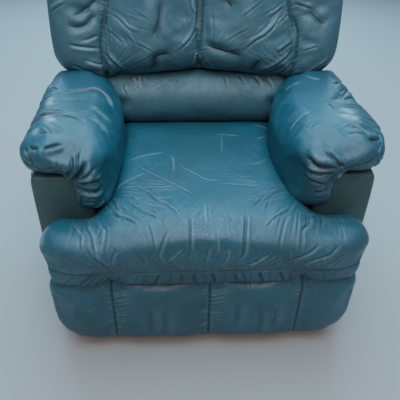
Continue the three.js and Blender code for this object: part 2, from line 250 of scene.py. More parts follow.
class Face(Enum):
    """The sides of a piece that a crease's path is given on."""

    TOP = "top"
    FRONT = "front"
    OUTER = "outer"


def top(*places: tuple[float, float]) -> list[tuple]:
    """Points of a path seen from above, as (x, y)."""
    return [(Face.TOP, a, b) for a, b in places]


def front(*places: tuple[float, float]) -> list[tuple]:
    """Points of a path seen from the front, as (x, z)."""
    return [(Face.FRONT, a, b) for a, b in places]


def outer(*places: tuple[float, float]) -> list[tuple]:
    """Points of a path seen from outside, as (y, z)."""
    return [(Face.OUTER, a, b) for a, b in places]


def ripple(points: Array, length: float, seed: int, count: int = 7) -> Array:
    """A smooth uneven field of waves with random directions.

    Args:
        points: Where it is read.
        length: Rough wavelength in metres.
        seed: Seed of the directions.
        count: How many waves are added.

    Returns:
        Values of about -1 to 1.
    """
    rng = np.random.default_rng(seed)
    total = np.zeros(len(points))
    for _ in range(count):
        way = rng.normal(size=3)
        way *= rng.uniform(0.6, 1.5) * 2 * np.pi / length / np.linalg.norm(way)
        total += np.sin(points @ way + rng.uniform(0, 6.3))
    return total / math.sqrt(count)


class Clay:
    """A mesh's points, pushed and pinched in code as a sculptor would.

    Attributes:
        REACH: How far above or below a path's samples its surface may lie, in metres.
        FAR: Where the rays of on() start, in metres from the middle.
        CREASE_WIDTH: Half-width of the valley of a crease of size 1.
        CREASE_DEPTH: Its depth.
        LIP_PLACE: Distance of a lip from its valley, in half-widths of the valley.
        LIP_WIDTH: Half-width of the lip, in the same unit.
        LIP_SHARE: Height of the lip on the lower side, as a share of the other one's.
        PINCH: How strongly the points beside a valley are drawn into it.
        FULL_DEPTH: Depth at which a valley's painted shade is at its darkest.
    """

    REACH = 0.045
    FAR = 3.0
    CREASE_WIDTH = 0.0040
    CREASE_DEPTH = 0.0030
    LIP_PLACE = 2.1
    LIP_WIDTH = 1.3
    LIP_SHARE = 0.3
    PINCH = 0.30
    FULL_DEPTH = 0.004

    def __init__(self, obj: bpy.types.Object) -> None:
        """Reads a mesh object's points.

        Args:
            obj: The object to shape.
        """
        self.obj = obj
        count = len(obj.data.vertices)
        self.points = np.empty(count * 3)
        obj.data.vertices.foreach_get("co", self.points)
        self.points = self.points.reshape(-1, 3)
        # Painted shade along crease valleys and seams.
        self.crease = np.zeros(count)
        # Pale marks: rubbed wear, and painted sheen where a scuff is wide.
        self.wear = np.zeros(count)
        self.refresh()

    def settle(self) -> None:
        """Builds the tree that on() casts its rays at."""
        self.tree = BVHTree.FromPolygons(
            [Vector(p) for p in self.points], [tuple(f.vertices) for f in self.obj.data.polygons]
        )

    def on(self, face: Face, a: float, b: float) -> Point:
        """Finds a point of the surface from the two coordinates seen on one of its faces.

        Args:
            face: The face that is looked at.
            a: The first coordinate: x on the top and the front, y on the outer side.
            b: The second: y on the top, and z elsewhere.

        Returns:
            The surface's point there, or the nearest one.
        """
        far = self.FAR
        start, way = {
            Face.TOP: ((a, b, far), (0.0, 0.0, -1.0)),
            Face.FRONT: ((a, -far, b), (0.0, 1.0, 0.0)),
            Face.OUTER: ((far, a, b), (-1.0, 0.0, 0.0)),
        }[face]
        found = self.tree.ray_cast(Vector(start), Vector(way))[0]
        if found is None:
            middle = Vector(start) + Vector(way) * (far - 0.3 if face is Face.FRONT else far - 0.45)
            found = self.tree.find_nearest(middle)[0]
        return tuple(found)

    def trace(self, path: Sequence[tuple]) -> list[Point]:
        """Finds the surface's points under a path of points (face, a, b)."""
        return [self.on(*point) for point in path]

    def press(self, path: Sequence[tuple], size: float = 1.0, **settings: object) -> None:
        """Presses a crease whose path is given on the faces.

        Args:
            path: Points (face, a, b), as on() takes them.
            size: Its size: 1 is a valley 8 mm wide and 3 mm deep.
            **settings: Other values of the fold.
        """
        shape = {"width": self.CREASE_WIDTH * math.sqrt(size), "depth": self.CREASE_DEPTH * size}
        self.fold(Fold(self.trace(path), **{**shape, **settings}))

    def fan(
        self,
        face: Face,
        origin: tuple[float, float],
        angles: tuple[float, float],
        reach: float,
        count: int,
        seed: int,
    ) -> None:
        """Presses fine creases that spread out from one place, as where leather is gathered.

        Args:
            face: The face that it is seen on.
            origin: The place that they spread from, as on() takes it.
            angles: First and last direction in degrees, from the first coordinate's axis.
            reach: How far the longest goes in metres.
            count: How many there are.
            seed: Seed of their unevenness.
        """
        rng = np.random.default_rng(seed)
        for k in range(count):
            angle = math.radians(angles[0] + (angles[1] - angles[0]) * (k + rng.uniform(0.1, 0.9)) / count)
            start = reach * rng.uniform(0.12, 0.55)
            length = reach * rng.uniform(0.25, 0.60)
            bow = rng.uniform(-0.25, 0.25)
            path = []
            for part in (0.0, 0.35, 0.7, 1.0):
                turn = angle + bow * part
                away = start + length * part
                path.append((face, origin[0] + away * math.cos(turn), origin[1] + away * math.sin(turn)))
            size = rng.uniform(0.18, 0.45)
            self.press(path, size, width=0.0029, lip=rng.choice([-0.8, 0.8]), wear=0.1, fade=(0.3, 0.55))

    @property
    def xyz(self) -> tuple[Array, Array, Array]:
        """The points' x, y and z."""
        return self.points[:, 0], self.points[:, 1], self.points[:, 2]

    def refresh(self) -> None:
        """Writes the points to the mesh and reads its normals again."""
        mesh = self.obj.data
        mesh.vertices.foreach_set("co", self.points.ravel())
        mesh.update()
        normals = np.empty(len(mesh.vertices) * 3)
        mesh.vertex_normals.foreach_get("vector", normals)
        self.normals = normals.reshape(-1, 3)

    def push(self, amount: Array) -> None:
        """Moves each point along its normal.

        Args:
            amount: Distance for each point in metres.
        """
        self.points += self.normals * amount[:, None]
        self.refresh()

    def near(self, path: Array, reach: float) -> tuple[Array, Array, Array, Array]:
        """Finds the points beside a path, measured in the surface.

        Args:
            path: Samples of the path.
            reach: How far to look to each side.

        Returns:
            Indices of the points, their signed distance to the path, their place along it from
            0 to 1, and the unit vectors that lead away from it.
        """
        low, high = path.min(0) - reach - self.REACH, path.max(0) + reach + self.REACH
        inside = np.flatnonzero(((self.points > low) & (self.points < high)).all(1))
        if not len(inside):
            return inside, np.empty(0), np.empty(0), np.empty((0, 3))
        p, n = self.points[inside], self.normals[inside]
        starts, spans = path[:-1], np.diff(path, axis=0)
        lengths = np.linalg.norm(spans, axis=1)
        along = np.concatenate([[0.0], np.cumsum(lengths)]) / lengths.sum()
        best = np.full(len(p), np.inf)
        side, place, away = np.zeros(len(p)), np.zeros(len(p)), np.zeros((len(p), 3))
        for i, (start, span, length) in enumerate(zip(starts, spans, lengths)):
            t = np.clip(((p - start) @ span) / length**2, 0.0, 1.0)
            offset = p - (start + t[:, None] * span)
            lift = (offset * n).sum(1)
            flat = offset - lift[:, None] * n
            distance = np.linalg.norm(flat, axis=1)
            distance = np.where(np.abs(lift) < self.REACH, distance, np.inf)
            closer = distance < best
            best[closer] = distance[closer]
            left = np.cross(n[closer], span / length)
            side[closer] = np.sign((flat[closer] * left).sum(1))
            place[closer] = (along[i] + t * (along[i + 1] - along[i]))[closer]
            away[closer] = flat[closer] / np.maximum(distance[closer], 1e-9)[:, None]
        keep = best < reach
        return inside[keep], best[keep] * np.where(side[keep] < 0, -1.0, 1.0), place[keep], away[keep]

    def fold(self, fold: Fold) -> None:
        """Presses one fold into the surface.

        Args:
            fold: The fold.
        """
        path = smooth_path(fold.path)
        index, distance, place, away = self.near(path, fold.width * 5.0)
        if not len(index):
            return
        first, last = (max(f, 1e-3) for f in fold.fade)
        strength = smoothstep(0.0, first, place) * smoothstep(1.0, 1.0 - last, place)
        u = distance / fold.width
        valley = np.exp(-(u**2)) * strength
        near_side = np.where(u * np.sign(fold.lip) > 0, 1.0, self.LIP_SHARE)
        ridge = np.exp(-(((np.abs(u) - self.LIP_PLACE) / self.LIP_WIDTH) ** 2)) * near_side * strength
        lift = fold.depth * (abs(fold.lip) * ridge - valley)
        self.points[index] += self.normals[index] * lift[:, None]
        pinch = self.PINCH * np.abs(distance) * np.exp(-((u / 2.2) ** 2)) * strength
        self.points[index] -= away * pinch[:, None]
        # Painted shade in the valley, darker where the crease is deeper.
        valley_shade = valley * min(1.0, fold.depth / self.FULL_DEPTH)
        self.crease[index] = np.maximum(self.crease[index], valley_shade)
        self.wear[index] = np.maximum(self.wear[index], ridge * fold.wear)

    def scuff(self, path: Sequence[Point], width: float = 0.0025, strength: float = 0.8) -> None:
        """Paints a thin pale line without changing the shape: rubbed wear, and where it is wide, a painted
        sheen.

        Args:
            path: Points near the surface.
            width: Half-width of the line.
            strength: How pale it is, from 0 to 1.
        """
        index, distance, place, _ = self.near(smooth_path(path), width * 3.0)
        line = np.exp(-((distance / width) ** 2)) * smoothstep(0, 0.25, place) * smoothstep(1, 0.75, place)
        self.wear[index] = np.maximum(self.wear[index], line * strength)

    def scuffs_and_sheens(self, rows: Sequence[tuple]) -> None:
        """Paints pale lines, given as rows of a path on the faces, a half-width and a strength; the wide ones
        on the arms are painted sheen.
        """
        for path, width, strength in rows:
            self.scuff(self.trace(path), width, strength)

    def groove(self, path: Sequence[Point], width: float, depth: float) -> None:
        """Presses an even channel along a seam.

        Args:
            path: Points along the seam.
            width: Half-width of the channel.
            depth: Its depth.
        """
        self.fold(Fold(path, width, depth, lip=0.0, fade=(0.02, 0.02)))
        self.refresh()

    def write(self) -> None:
        """Stores the points, the crease mask of painted shade and the wear mask of rubbed wear and painted
        sheen on the mesh.
        """
        self.refresh()
        for name, values in (("crease", self.crease), ("wear", self.wear)):
            attribute = self.obj.data.attributes.new(name, "FLOAT", "POINT")
            attribute.data.foreach_set("value", values.astype(np.float32))


def across(x: Array, edges: Array) -> Array:
    """Gives each point's place across its sewn section.

    Args:
        x: The points' x.
        edges: Places of the sections' edges, from low to high.

    Returns:
        Values from -1 at a section's low edge to 1 at its high edge.
    """
    section = np.clip(np.digitize(x, edges) - 1, 0, len(edges) - 2)
    return 2 * (x - edges[section]) / (edges[section + 1] - edges[section]) - 1


# ---- Padded pieces ---------------------------------------------------------------------------------


@dataclass
class Padded:
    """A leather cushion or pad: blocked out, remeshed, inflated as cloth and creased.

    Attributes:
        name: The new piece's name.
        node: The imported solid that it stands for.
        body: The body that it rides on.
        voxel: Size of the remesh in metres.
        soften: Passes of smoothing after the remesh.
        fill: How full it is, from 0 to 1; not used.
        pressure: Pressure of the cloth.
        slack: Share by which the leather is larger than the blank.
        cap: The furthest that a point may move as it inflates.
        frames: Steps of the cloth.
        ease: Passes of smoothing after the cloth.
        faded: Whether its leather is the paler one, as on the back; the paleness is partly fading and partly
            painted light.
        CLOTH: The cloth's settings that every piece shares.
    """

    name: str
    node: str
    body: Body
    voxel: float = 0.006
    soften: int = 10
    fill: float = 0.7
    pressure: float = 4.0
    slack: float = 0.03
    cap: float = 0.012
    frames: int = 14
    ease: int = 8
    faded: bool = False

    CLOTH = {
        "quality": 4,
        "mass": 0.4,
        "tension_stiffness": 12.0,
        "compression_stiffness": 12.0,
        "shear_stiffness": 6.0,
        "bending_stiffness": 0.6,
    }

    def blank(self) -> bpy.types.Object:
        """Blocks out the piece. Returns the new object."""
        raise NotImplementedError

    def flow(self, x: Array, y: Array, z: Array) -> Array | None:
        """Gives how strongly each point is smoothed into its surroundings, from 0 to 1, or None."""
        return None

    def model(self, clay: Clay) -> None:
        """Shapes the broad forms and the seam channels before the cloth."""

    def pins(self, clay: Clay) -> Array:
        """Gives how firmly each point is held as the piece inflates, from 0 to 1."""
        return np.zeros(len(clay.points))

    def dress(self, clay: Clay) -> None:
        """Creases the finished surface."""

    def place(self, obj: bpy.types.Object) -> None:
        """Puts a finished mesh where it belongs."""

    def build(self) -> None:
        """Makes the piece from its blank to its finish."""
        obj = self.blank()
        apply_modifier(obj, "REMESH", mode="VOXEL", voxel_size=self.voxel)
        apply_modifier(obj, "SMOOTH", factor=0.5, iterations=self.soften)
        clay = Clay(obj)
        weights = self.flow(*clay.xyz)
        if weights is not None:
            group = obj.vertex_groups.new(name="flow")
            for level in np.arange(0.1, 1.01, 0.1):
                index = np.flatnonzero(np.abs(weights - level) <= 0.05)
                group.add([int(i) for i in index], float(level), "REPLACE")
            apply_modifier(obj, "SMOOTH", factor=0.8, iterations=90, vertex_group=group.name)
            obj.vertex_groups.clear()
            clay = Clay(obj)
        self.model(clay)
        clay.refresh()
        self.inflate(clay)
        apply_modifier(obj, "SMOOTH", factor=0.5, iterations=self.ease)
        apply_modifier(obj, "SUBSURF", levels=1, render_levels=1)
        clay = Clay(obj)
        clay.push(0.0006 * ripple(clay.points, 0.16, 3) + 0.00012 * ripple(clay.points, 0.045, 4, 12))
        clay.settle()
        self.dress(clay)
        clay.write()
        self.place(obj)
        obj.data.shade_smooth()
        obj.name = obj.data.name = self.name
        obj.data.materials.clear()
        # The back pieces get the paler leather, which is partly painted light.
        obj.data.materials.append(finishes.faded if self.faded else finishes.cushion)
        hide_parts(self.node)
        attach(obj, self.body.value)
        log.info("%s: %d faces", self.name, len(obj.data.polygons))

    def inflate(self, clay: Clay) -> None:
        """Blows the leather up as cloth between its pinned seams.

        Args:
            clay: The shaped blank, which takes the result.
        """
        obj, start = clay.obj, clay.points.copy()
        held = self.pins(clay)
        group = obj.vertex_groups.new(name="held")
        for level in np.unique(np.round(held[held > 0.02] * 20) / 20):
            index = np.flatnonzero(np.abs(held - level) <= 0.025)
            group.add([int(i) for i in index], float(level), "REPLACE")
        cloth = obj.modifiers.new("Cloth", "CLOTH")
        for key, value in self.CLOTH.items():
            setattr(cloth.settings, key, value)
        cloth.settings.shrink_min = -self.slack
        cloth.settings.use_pressure = True
        cloth.settings.uniform_pressure_force = self.pressure
        cloth.settings.effector_weights.gravity = 0.0
        if held.max() > 0:
            cloth.settings.vertex_group_mass = group.name
            cloth.settings.pin_stiffness = 4.0
        scene = bpy.context.scene
        for number in range(1, self.frames + 1):
            scene.frame_set(number)
        graph = bpy.context.evaluated_depsgraph_get()
        moved = np.empty(len(start) * 3)
        obj.evaluated_get(graph).data.vertices.foreach_get("co", moved)
        obj.modifiers.remove(cloth)
        obj.vertex_groups.clear()
        scene.frame_set(1)
        step = moved.reshape(-1, 3) - start
        length = np.linalg.norm(step, axis=1)
        step *= np.minimum(1.0, self.cap / np.maximum(length, 1e-9))[:, None]
        clay.points = start + step
        clay.refresh()


class Leaning(Padded):
    """A piece of the back, modelled upright."""

    def place(self, obj: bpy.types.Object) -> None:
        """Leans the piece back."""
        upright.lean(obj)


class Seat(Padded):
    """The T-shaped seat, whose front rolls down to a seam.

    Attributes:
        PAD_HALF: Half the width of the pad between the arms.
        NECK_HALF: Half the width of its neck, just behind the front roll.
        SEAM_HEIGHT: Height of the front seam.
        LINKS: Distance from the middle at which the footrest's links pass under the band.
        FRONT_FANS: Places along the front seam that creases fan up from.
        SHORT_CREASES: How many short creases rise from the front seam.
    """

    PAD_HALF = 0.274
    NECK_HALF = 0.297
    SEAM_HEIGHT = 0.350
    LINKS = 0.257
    FRONT_FANS = (-0.30, -0.18, -0.06, 0.06, 0.18, 0.30)
    SHORT_CREASES = 46

    def blank(self) -> bpy.types.Object:
        """Blocks out the cushion and its front roll. Returns the joined object."""
        low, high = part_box(self.node)
        pad_low = (-self.PAD_HALF, low[1] + 0.050, 0.347)
        pad_high = (self.PAD_HALF, high[1] - 0.002, high[2] - 0.006)
        roll_low, roll_high = (low[0] + 0.001, low[1] + 0.006, 0.328), (high[0] - 0.001, -0.285, 0.466)
        band_low = (low[0] + 0.010, low[1] + 0.016, low[2] - 0.009)
        band_high = (high[0] - 0.010, -0.310, 0.400)
        pad = block("pad", pad_low, pad_high, 0.026)
        neck = block("neck", (-self.NECK_HALF, -0.345, 0.362), (self.NECK_HALF, -0.215, 0.461), 0.024)
        roll = block("roll", roll_low, roll_high, 0.056, 6)
        band = block("band", band_low, band_high, 0.014, 3)
        return join(self.name, [pad, neck, roll, band])

    def flow(self, x: Array, y: Array, z: Array) -> Array | None:
        """Melts the pad's front edge and the neck into the roll."""
        across_neck = smoothstep(0.375, 0.310, np.abs(x))
        return smoothstep(0.425, 0.450, z) * smoothstep(-0.180, -0.250, y) * across_neck

    def seam(self) -> list[Point]:
        """The seam along the front roll, from the right corner to the left one."""
        right = [(0.432, -0.345, 0.372), (0.420, -0.385, 0.362)]
        right += [(0.388, -0.415, 0.353), (0.300, -0.430, 0.348)]
        middle = [(0.150, -0.434, self.SEAM_HEIGHT), (-0.150, -0.434, self.SEAM_HEIGHT)]
        left = [(-x, y, z) for x, y, z in reversed(right)]
        return [*right, *middle, *left]

    def model(self, clay: Clay) -> None:
        """Crowns the top, tucks in the band, arches it over the links and presses the seam in."""
        x, y, z = clay.xyz
        top = smoothstep(0.2, 0.8, clay.normals[:, 2])
        crown = np.clip(1 - (x / 0.27) ** 2, 0, 1) * smoothstep(0.20, 0.05, y)
        clay.points[:, 2] += 0.006 * top * crown
        band = smoothstep(0.350, 0.300, z) * smoothstep(-0.30, -0.40, y)
        clay.points[:, 1] += 0.010 * band
        links = smoothstep(0.345, 0.310, z) * bell(np.abs(x), self.LINKS, 0.024)
        clay.points[:, 2] += links * (0.012 + 0.016 * smoothstep(-0.370, -0.415, y))
        corner = smoothstep(0.34, 0.43, np.abs(x)) * smoothstep(-0.33, -0.42, y)
        clay.points[:, 1] += 0.012 * corner
        clay.refresh()
        clay.groove(self.seam(), 0.006, 0.006)

    def pins(self, clay: Clay) -> Array:
        """Holds the seam, the underside and the rear."""
        x, y, z = clay.xyz
        held = np.maximum(smoothstep(0.356, 0.349, z) * (y > -0.28), smoothstep(0.17, 0.19, y))
        index, _, _, _ = clay.near(smooth_path(self.seam()), 0.007)
        held[index] = 1.0
        held = np.maximum(held, smoothstep(0.345, 0.335, z) * bell(np.abs(x), self.LINKS, 0.030))
        return np.maximum(held, smoothstep(0.312, 0.306, z))

    def dress(self, clay: Clay) -> None:
        """Creases the seat: fans from the arm pads' tips, folds over the roll and tucks in the band."""
        clay.groove(self.seam(), 0.0030, 0.0035)
        clay.scuff([(x, y - 0.002, z + 0.005) for x, y, z in self.seam()], 0.0020, 0.22)
        for path, size, lip, wear in self.CREASES:
            clay.press(path, 0.62 * size, lip=lip, wear=0.5 * wear)
        for start, end, size in self.TUCKS:
            path = front((start, 0.343), ((start + end) / 2, 0.318), (end, 0.292))
            clay.press(path, size, fade=(0.05, 0.35))
        clay.fan(Face.TOP, (-0.285, -0.215), (-82.0, 8.0), 0.26, 24, 12)
        clay.fan(Face.TOP, (0.290, -0.215), (172.0, 262.0), 0.26, 24, 13)
        clay.fan(Face.TOP, (-0.330, -0.300), (-110.0, -20.0), 0.13, 12, 14)
        clay.fan(Face.TOP, (0.335, -0.300), (200.0, 290.0), 0.13, 12, 15)
        for place in self.FRONT_FANS:
            clay.fan(Face.FRONT, (place, 0.335), (50.0, 130.0), 0.12, 7, int(100 * (1 + place)))
        rng = np.random.default_rng(11)
        for i in range(self.SHORT_CREASES):
            x = -0.40 + 0.80 * (i + rng.uniform(0.2, 0.8)) / self.SHORT_CREASES
            drift = rng.uniform(-0.5, 0.5) * 0.03 + 0.05 * x
            height = rng.uniform(0.015, 0.045)
            path = front((x, 0.353), (x + drift / 2, 0.353 + height / 2), (x + drift, 0.353 + height))
            clay.press(path, rng.uniform(0.12, 0.4), fade=(0.03, 0.7), lip=rng.choice([-0.8, 0.8]), wear=0.15)
        clay.refresh()
        clay.scuffs_and_sheens(self.SCUFFS)

    CREASES = (
        (top((-0.355, -0.345), (-0.345, -0.36), (-0.335, -0.378), (-0.32, -0.402)) + front((-0.318, 0.432)),
         0.9, 0.9, 0.5),
        (top((-0.315, -0.345), (-0.305, -0.378), (-0.295, -0.398)) + front((-0.285, 0.442), (-0.275, 0.40)),
         1.2, 1.0, 0.8),
        (top((-0.275, -0.345), (-0.268, -0.372), (-0.255, -0.392)) + front((-0.257, 0.448), (-0.262, 0.41)),
         0.8, -0.9, 0.7),
        (top((-0.25, -0.32), (-0.245, -0.335), (-0.225, -0.355), (-0.205, -0.366), (-0.187, -0.38),
         (-0.18, -0.395)),
         1.5, 0.9, 0.5),
        (top((-0.215, -0.295), (-0.18, -0.333), (-0.155, -0.353), (-0.14, -0.362), (-0.105, -0.385)),
         1.2, 0.8, 0.3),
        (top((-0.165, -0.255), (-0.135, -0.295), (-0.105, -0.32), (-0.085, -0.348), (-0.07, -0.385)),
         1.0, 0.9, 0.4),
        (top((-0.055, -0.325), (-0.068, -0.342), (-0.082, -0.358)), 0.6, 0.7, 0.2),
        (top((-0.158, -0.372), (-0.145, -0.40)) + front((-0.135, 0.445), (-0.127, 0.42)), 0.7, 0.8, 0.3),
        (top((-0.10, -0.395)) + front((-0.118, 0.445), (-0.127, 0.418), (-0.12, 0.405), (-0.114, 0.378)),
         1.1, 0.8, 0.4),
        (top((-0.046, -0.355), (-0.045, -0.40)) + front((-0.045, 0.443), (-0.046, 0.412)), 1.1, 0.9, 0.6),
        (front((-0.053, 0.435), (-0.075, 0.415), (-0.10, 0.39)), 0.9, -0.9, 0.5),
        (front((-0.23, 0.442), (-0.24, 0.42), (-0.245, 0.39)), 0.9, 0.8, 0.4),
        (front((-0.185, 0.44), (-0.168, 0.41), (-0.158, 0.382)), 0.8, -0.8, 0.2),
        (front((-0.305, 0.445), (-0.283, 0.418), (-0.26, 0.398), (-0.245, 0.378)), 1.2, 0.9, 0.2),
        (front((-0.35, 0.428), (-0.333, 0.41), (-0.308, 0.393)), 0.8, 0.8, 0.2),
        (front((-0.34, 0.43), (-0.312, 0.405), (-0.283, 0.386)), 0.8, 0.8, 0.2),
        (front((-0.37, 0.405), (-0.35, 0.39), (-0.32, 0.378)), 0.6, 0.8, 0.1),
        (front((-0.002, 0.44), (-0.004, 0.415), (-0.012, 0.38)), 1.0, 0.9, 0.3),
        (front((0.016, 0.445), (0.014, 0.425), (0.008, 0.395)), 0.7, -0.8, 0.3),
        (top((0.004, -0.31), (0.002, -0.355), (0.003, -0.395)), 0.7, -0.9, 0.8),
        (top((0.018, -0.392)) + front((0.022, 0.436), (0.019, 0.41)), 0.6, 0.9, 0.6),
        (top((0.105, -0.35), (0.098, -0.378))
         + front((0.09, 0.452), (0.088, 0.42), (0.078, 0.402), (0.068, 0.392)),
         1.5, 1.0, 0.6),
        (top((0.20, -0.25), (0.165, -0.28), (0.135, -0.315), (0.108, -0.342)), 1.0, -0.8, 0.2),
        (top((0.235, -0.325), (0.205, -0.35), (0.175, -0.373), (0.155, -0.395), (0.145, -0.404)),
         1.2, -0.9, 0.4),
        (top((0.215, -0.355), (0.197, -0.385)) + front((0.182, 0.458), (0.178, 0.44), (0.181, 0.422)),
         0.9, 0.8, 0.4),
        (top((0.278, -0.315), (0.272, -0.35), (0.262, -0.38), (0.24, -0.404))
         + front((0.233, 0.432), (0.232, 0.412)),
         1.3, 0.9, 0.4),
        (top((0.31, -0.32), (0.305, -0.345), (0.295, -0.385)), 1.1, 0.7, 0.3),
        (front((0.285, 0.446), (0.255, 0.425), (0.225, 0.41), (0.20, 0.398)), 1.2, 0.9, 0.3),
        (front((0.34, 0.447), (0.31, 0.42), (0.277, 0.407), (0.255, 0.396), (0.232, 0.374)), 1.3, 0.9, 0.3),
        (front((0.355, 0.42), (0.325, 0.392), (0.295, 0.375)), 1.0, 0.9, 0.4),
        (front((0.365, 0.40), (0.34, 0.382), (0.315, 0.368)), 0.8, 0.9, 0.4),
        (front((0.33, 0.405), (0.305, 0.39), (0.272, 0.372)), 0.8, -0.8, 0.3),
        (front((0.155, 0.424), (0.13, 0.402), (0.118, 0.39), (0.095, 0.382)), 1.2, 1.0, 0.7),
        (front((0.182, 0.424), (0.15, 0.40), (0.132, 0.383)), 0.9, 0.8, 0.3),
        (front((0.205, 0.405), (0.18, 0.388), (0.155, 0.376)), 0.8, -0.8, 0.3),
        (front((0.046, 0.438), (0.047, 0.408), (0.037, 0.38)), 0.8, 0.9, 0.7),
        (top((-0.225, -0.10), (-0.185, -0.072), (-0.15, -0.06), (-0.105, -0.05)), 0.6, 0.8, 0.5),
        (top((-0.078, -0.105), (-0.055, -0.145), (-0.02, -0.18), (0.005, -0.203), (0.06, -0.215)),
         0.7, 0.7, 0.2),
        (top((-0.21, -0.11), (-0.175, -0.145), (-0.145, -0.175), (-0.105, -0.21), (-0.06, -0.25),
         (-0.015, -0.30)),
         0.9, 0.8, 0.2),
        (top((-0.215, -0.21), (-0.165, -0.255), (-0.14, -0.29), (-0.12, -0.315)), 1.0, 0.8, 0.3),
        (top((0.18, 0.15), (0.21, 0.135), (0.24, 0.105)), 1.0, 0.8, 0.2),
        (top((0.145, -0.315), (0.18, -0.28), (0.215, -0.24)), 1.1, 0.8, 0.3),
        (top((0.045, -0.225), (0.11, -0.235), (0.165, -0.242)), 0.5, 0.8, 0.1),
        (top((0.15, -0.13), (0.18, -0.108), (0.21, -0.088)), 0.5, 0.8, 0.3),
        (top((-0.10, 0.10), (-0.03, 0.105), (0.04, 0.10)), 0.4, 0.6, 0.1),
    )
    TUCKS = (
        (-0.345, -0.385, 0.7), (-0.30, -0.345, 0.9), (-0.285, -0.325, 0.8), (-0.262, -0.303, 1.0),
        (-0.243, -0.28, 0.8),
        (-0.222, -0.25, 0.9), (-0.21, -0.232, 0.7), (-0.18, -0.192, 0.6), (-0.16, -0.172, 0.8),
        (-0.125, -0.142, 1.3),
        (-0.095, -0.098, 0.7), (-0.066, -0.07, 0.9), (-0.036, -0.03, 1.1), (-0.01, -0.004, 0.6),
        (0.014, 0.023, 1.4),
        (0.045, 0.05, 0.6), (0.071, 0.086, 1.0), (0.095, 0.107, 0.8), (0.115, 0.12, 0.5),
        (0.138, 0.154, 1.4),
        (0.165, 0.172, 0.6), (0.192, 0.212, 1.2), (0.218, 0.232, 0.9), (0.26, 0.27, 0.5),
        (0.31, 0.325, 0.5),
    )
    SCUFFS = (
        (top((-0.255, -0.235), (-0.225, -0.205), (-0.185, -0.175), (-0.155, -0.155)), 0.0018, 0.6),
        (top((0.052, 0.06), (0.075, 0.066), (0.14, 0.06)), 0.0018, 0.5),
        (top((0.072, 0.064), (0.068, -0.01), (0.062, -0.07)), 0.0016, 0.3),
        (top((-0.095, -0.06), (-0.086, -0.10), (-0.085, -0.165)), 0.0018, 0.5),
        (top((0.185, 0.035), (0.205, 0.048), (0.22, 0.055)), 0.0018, 0.5),
        (top((-0.235, 0.03), (-0.215, 0.045)), 0.0018, 0.4),
        (top((0.15, -0.405), (0.165, -0.385), (0.17, -0.36)), 0.0016, 0.3),
        (top((-0.415, -0.345), (-0.422, -0.375)) + front((-0.42, 0.42)), 0.012, 0.75),
        (top((0.415, -0.335), (0.42, -0.37)), 0.011, 0.25),
    )


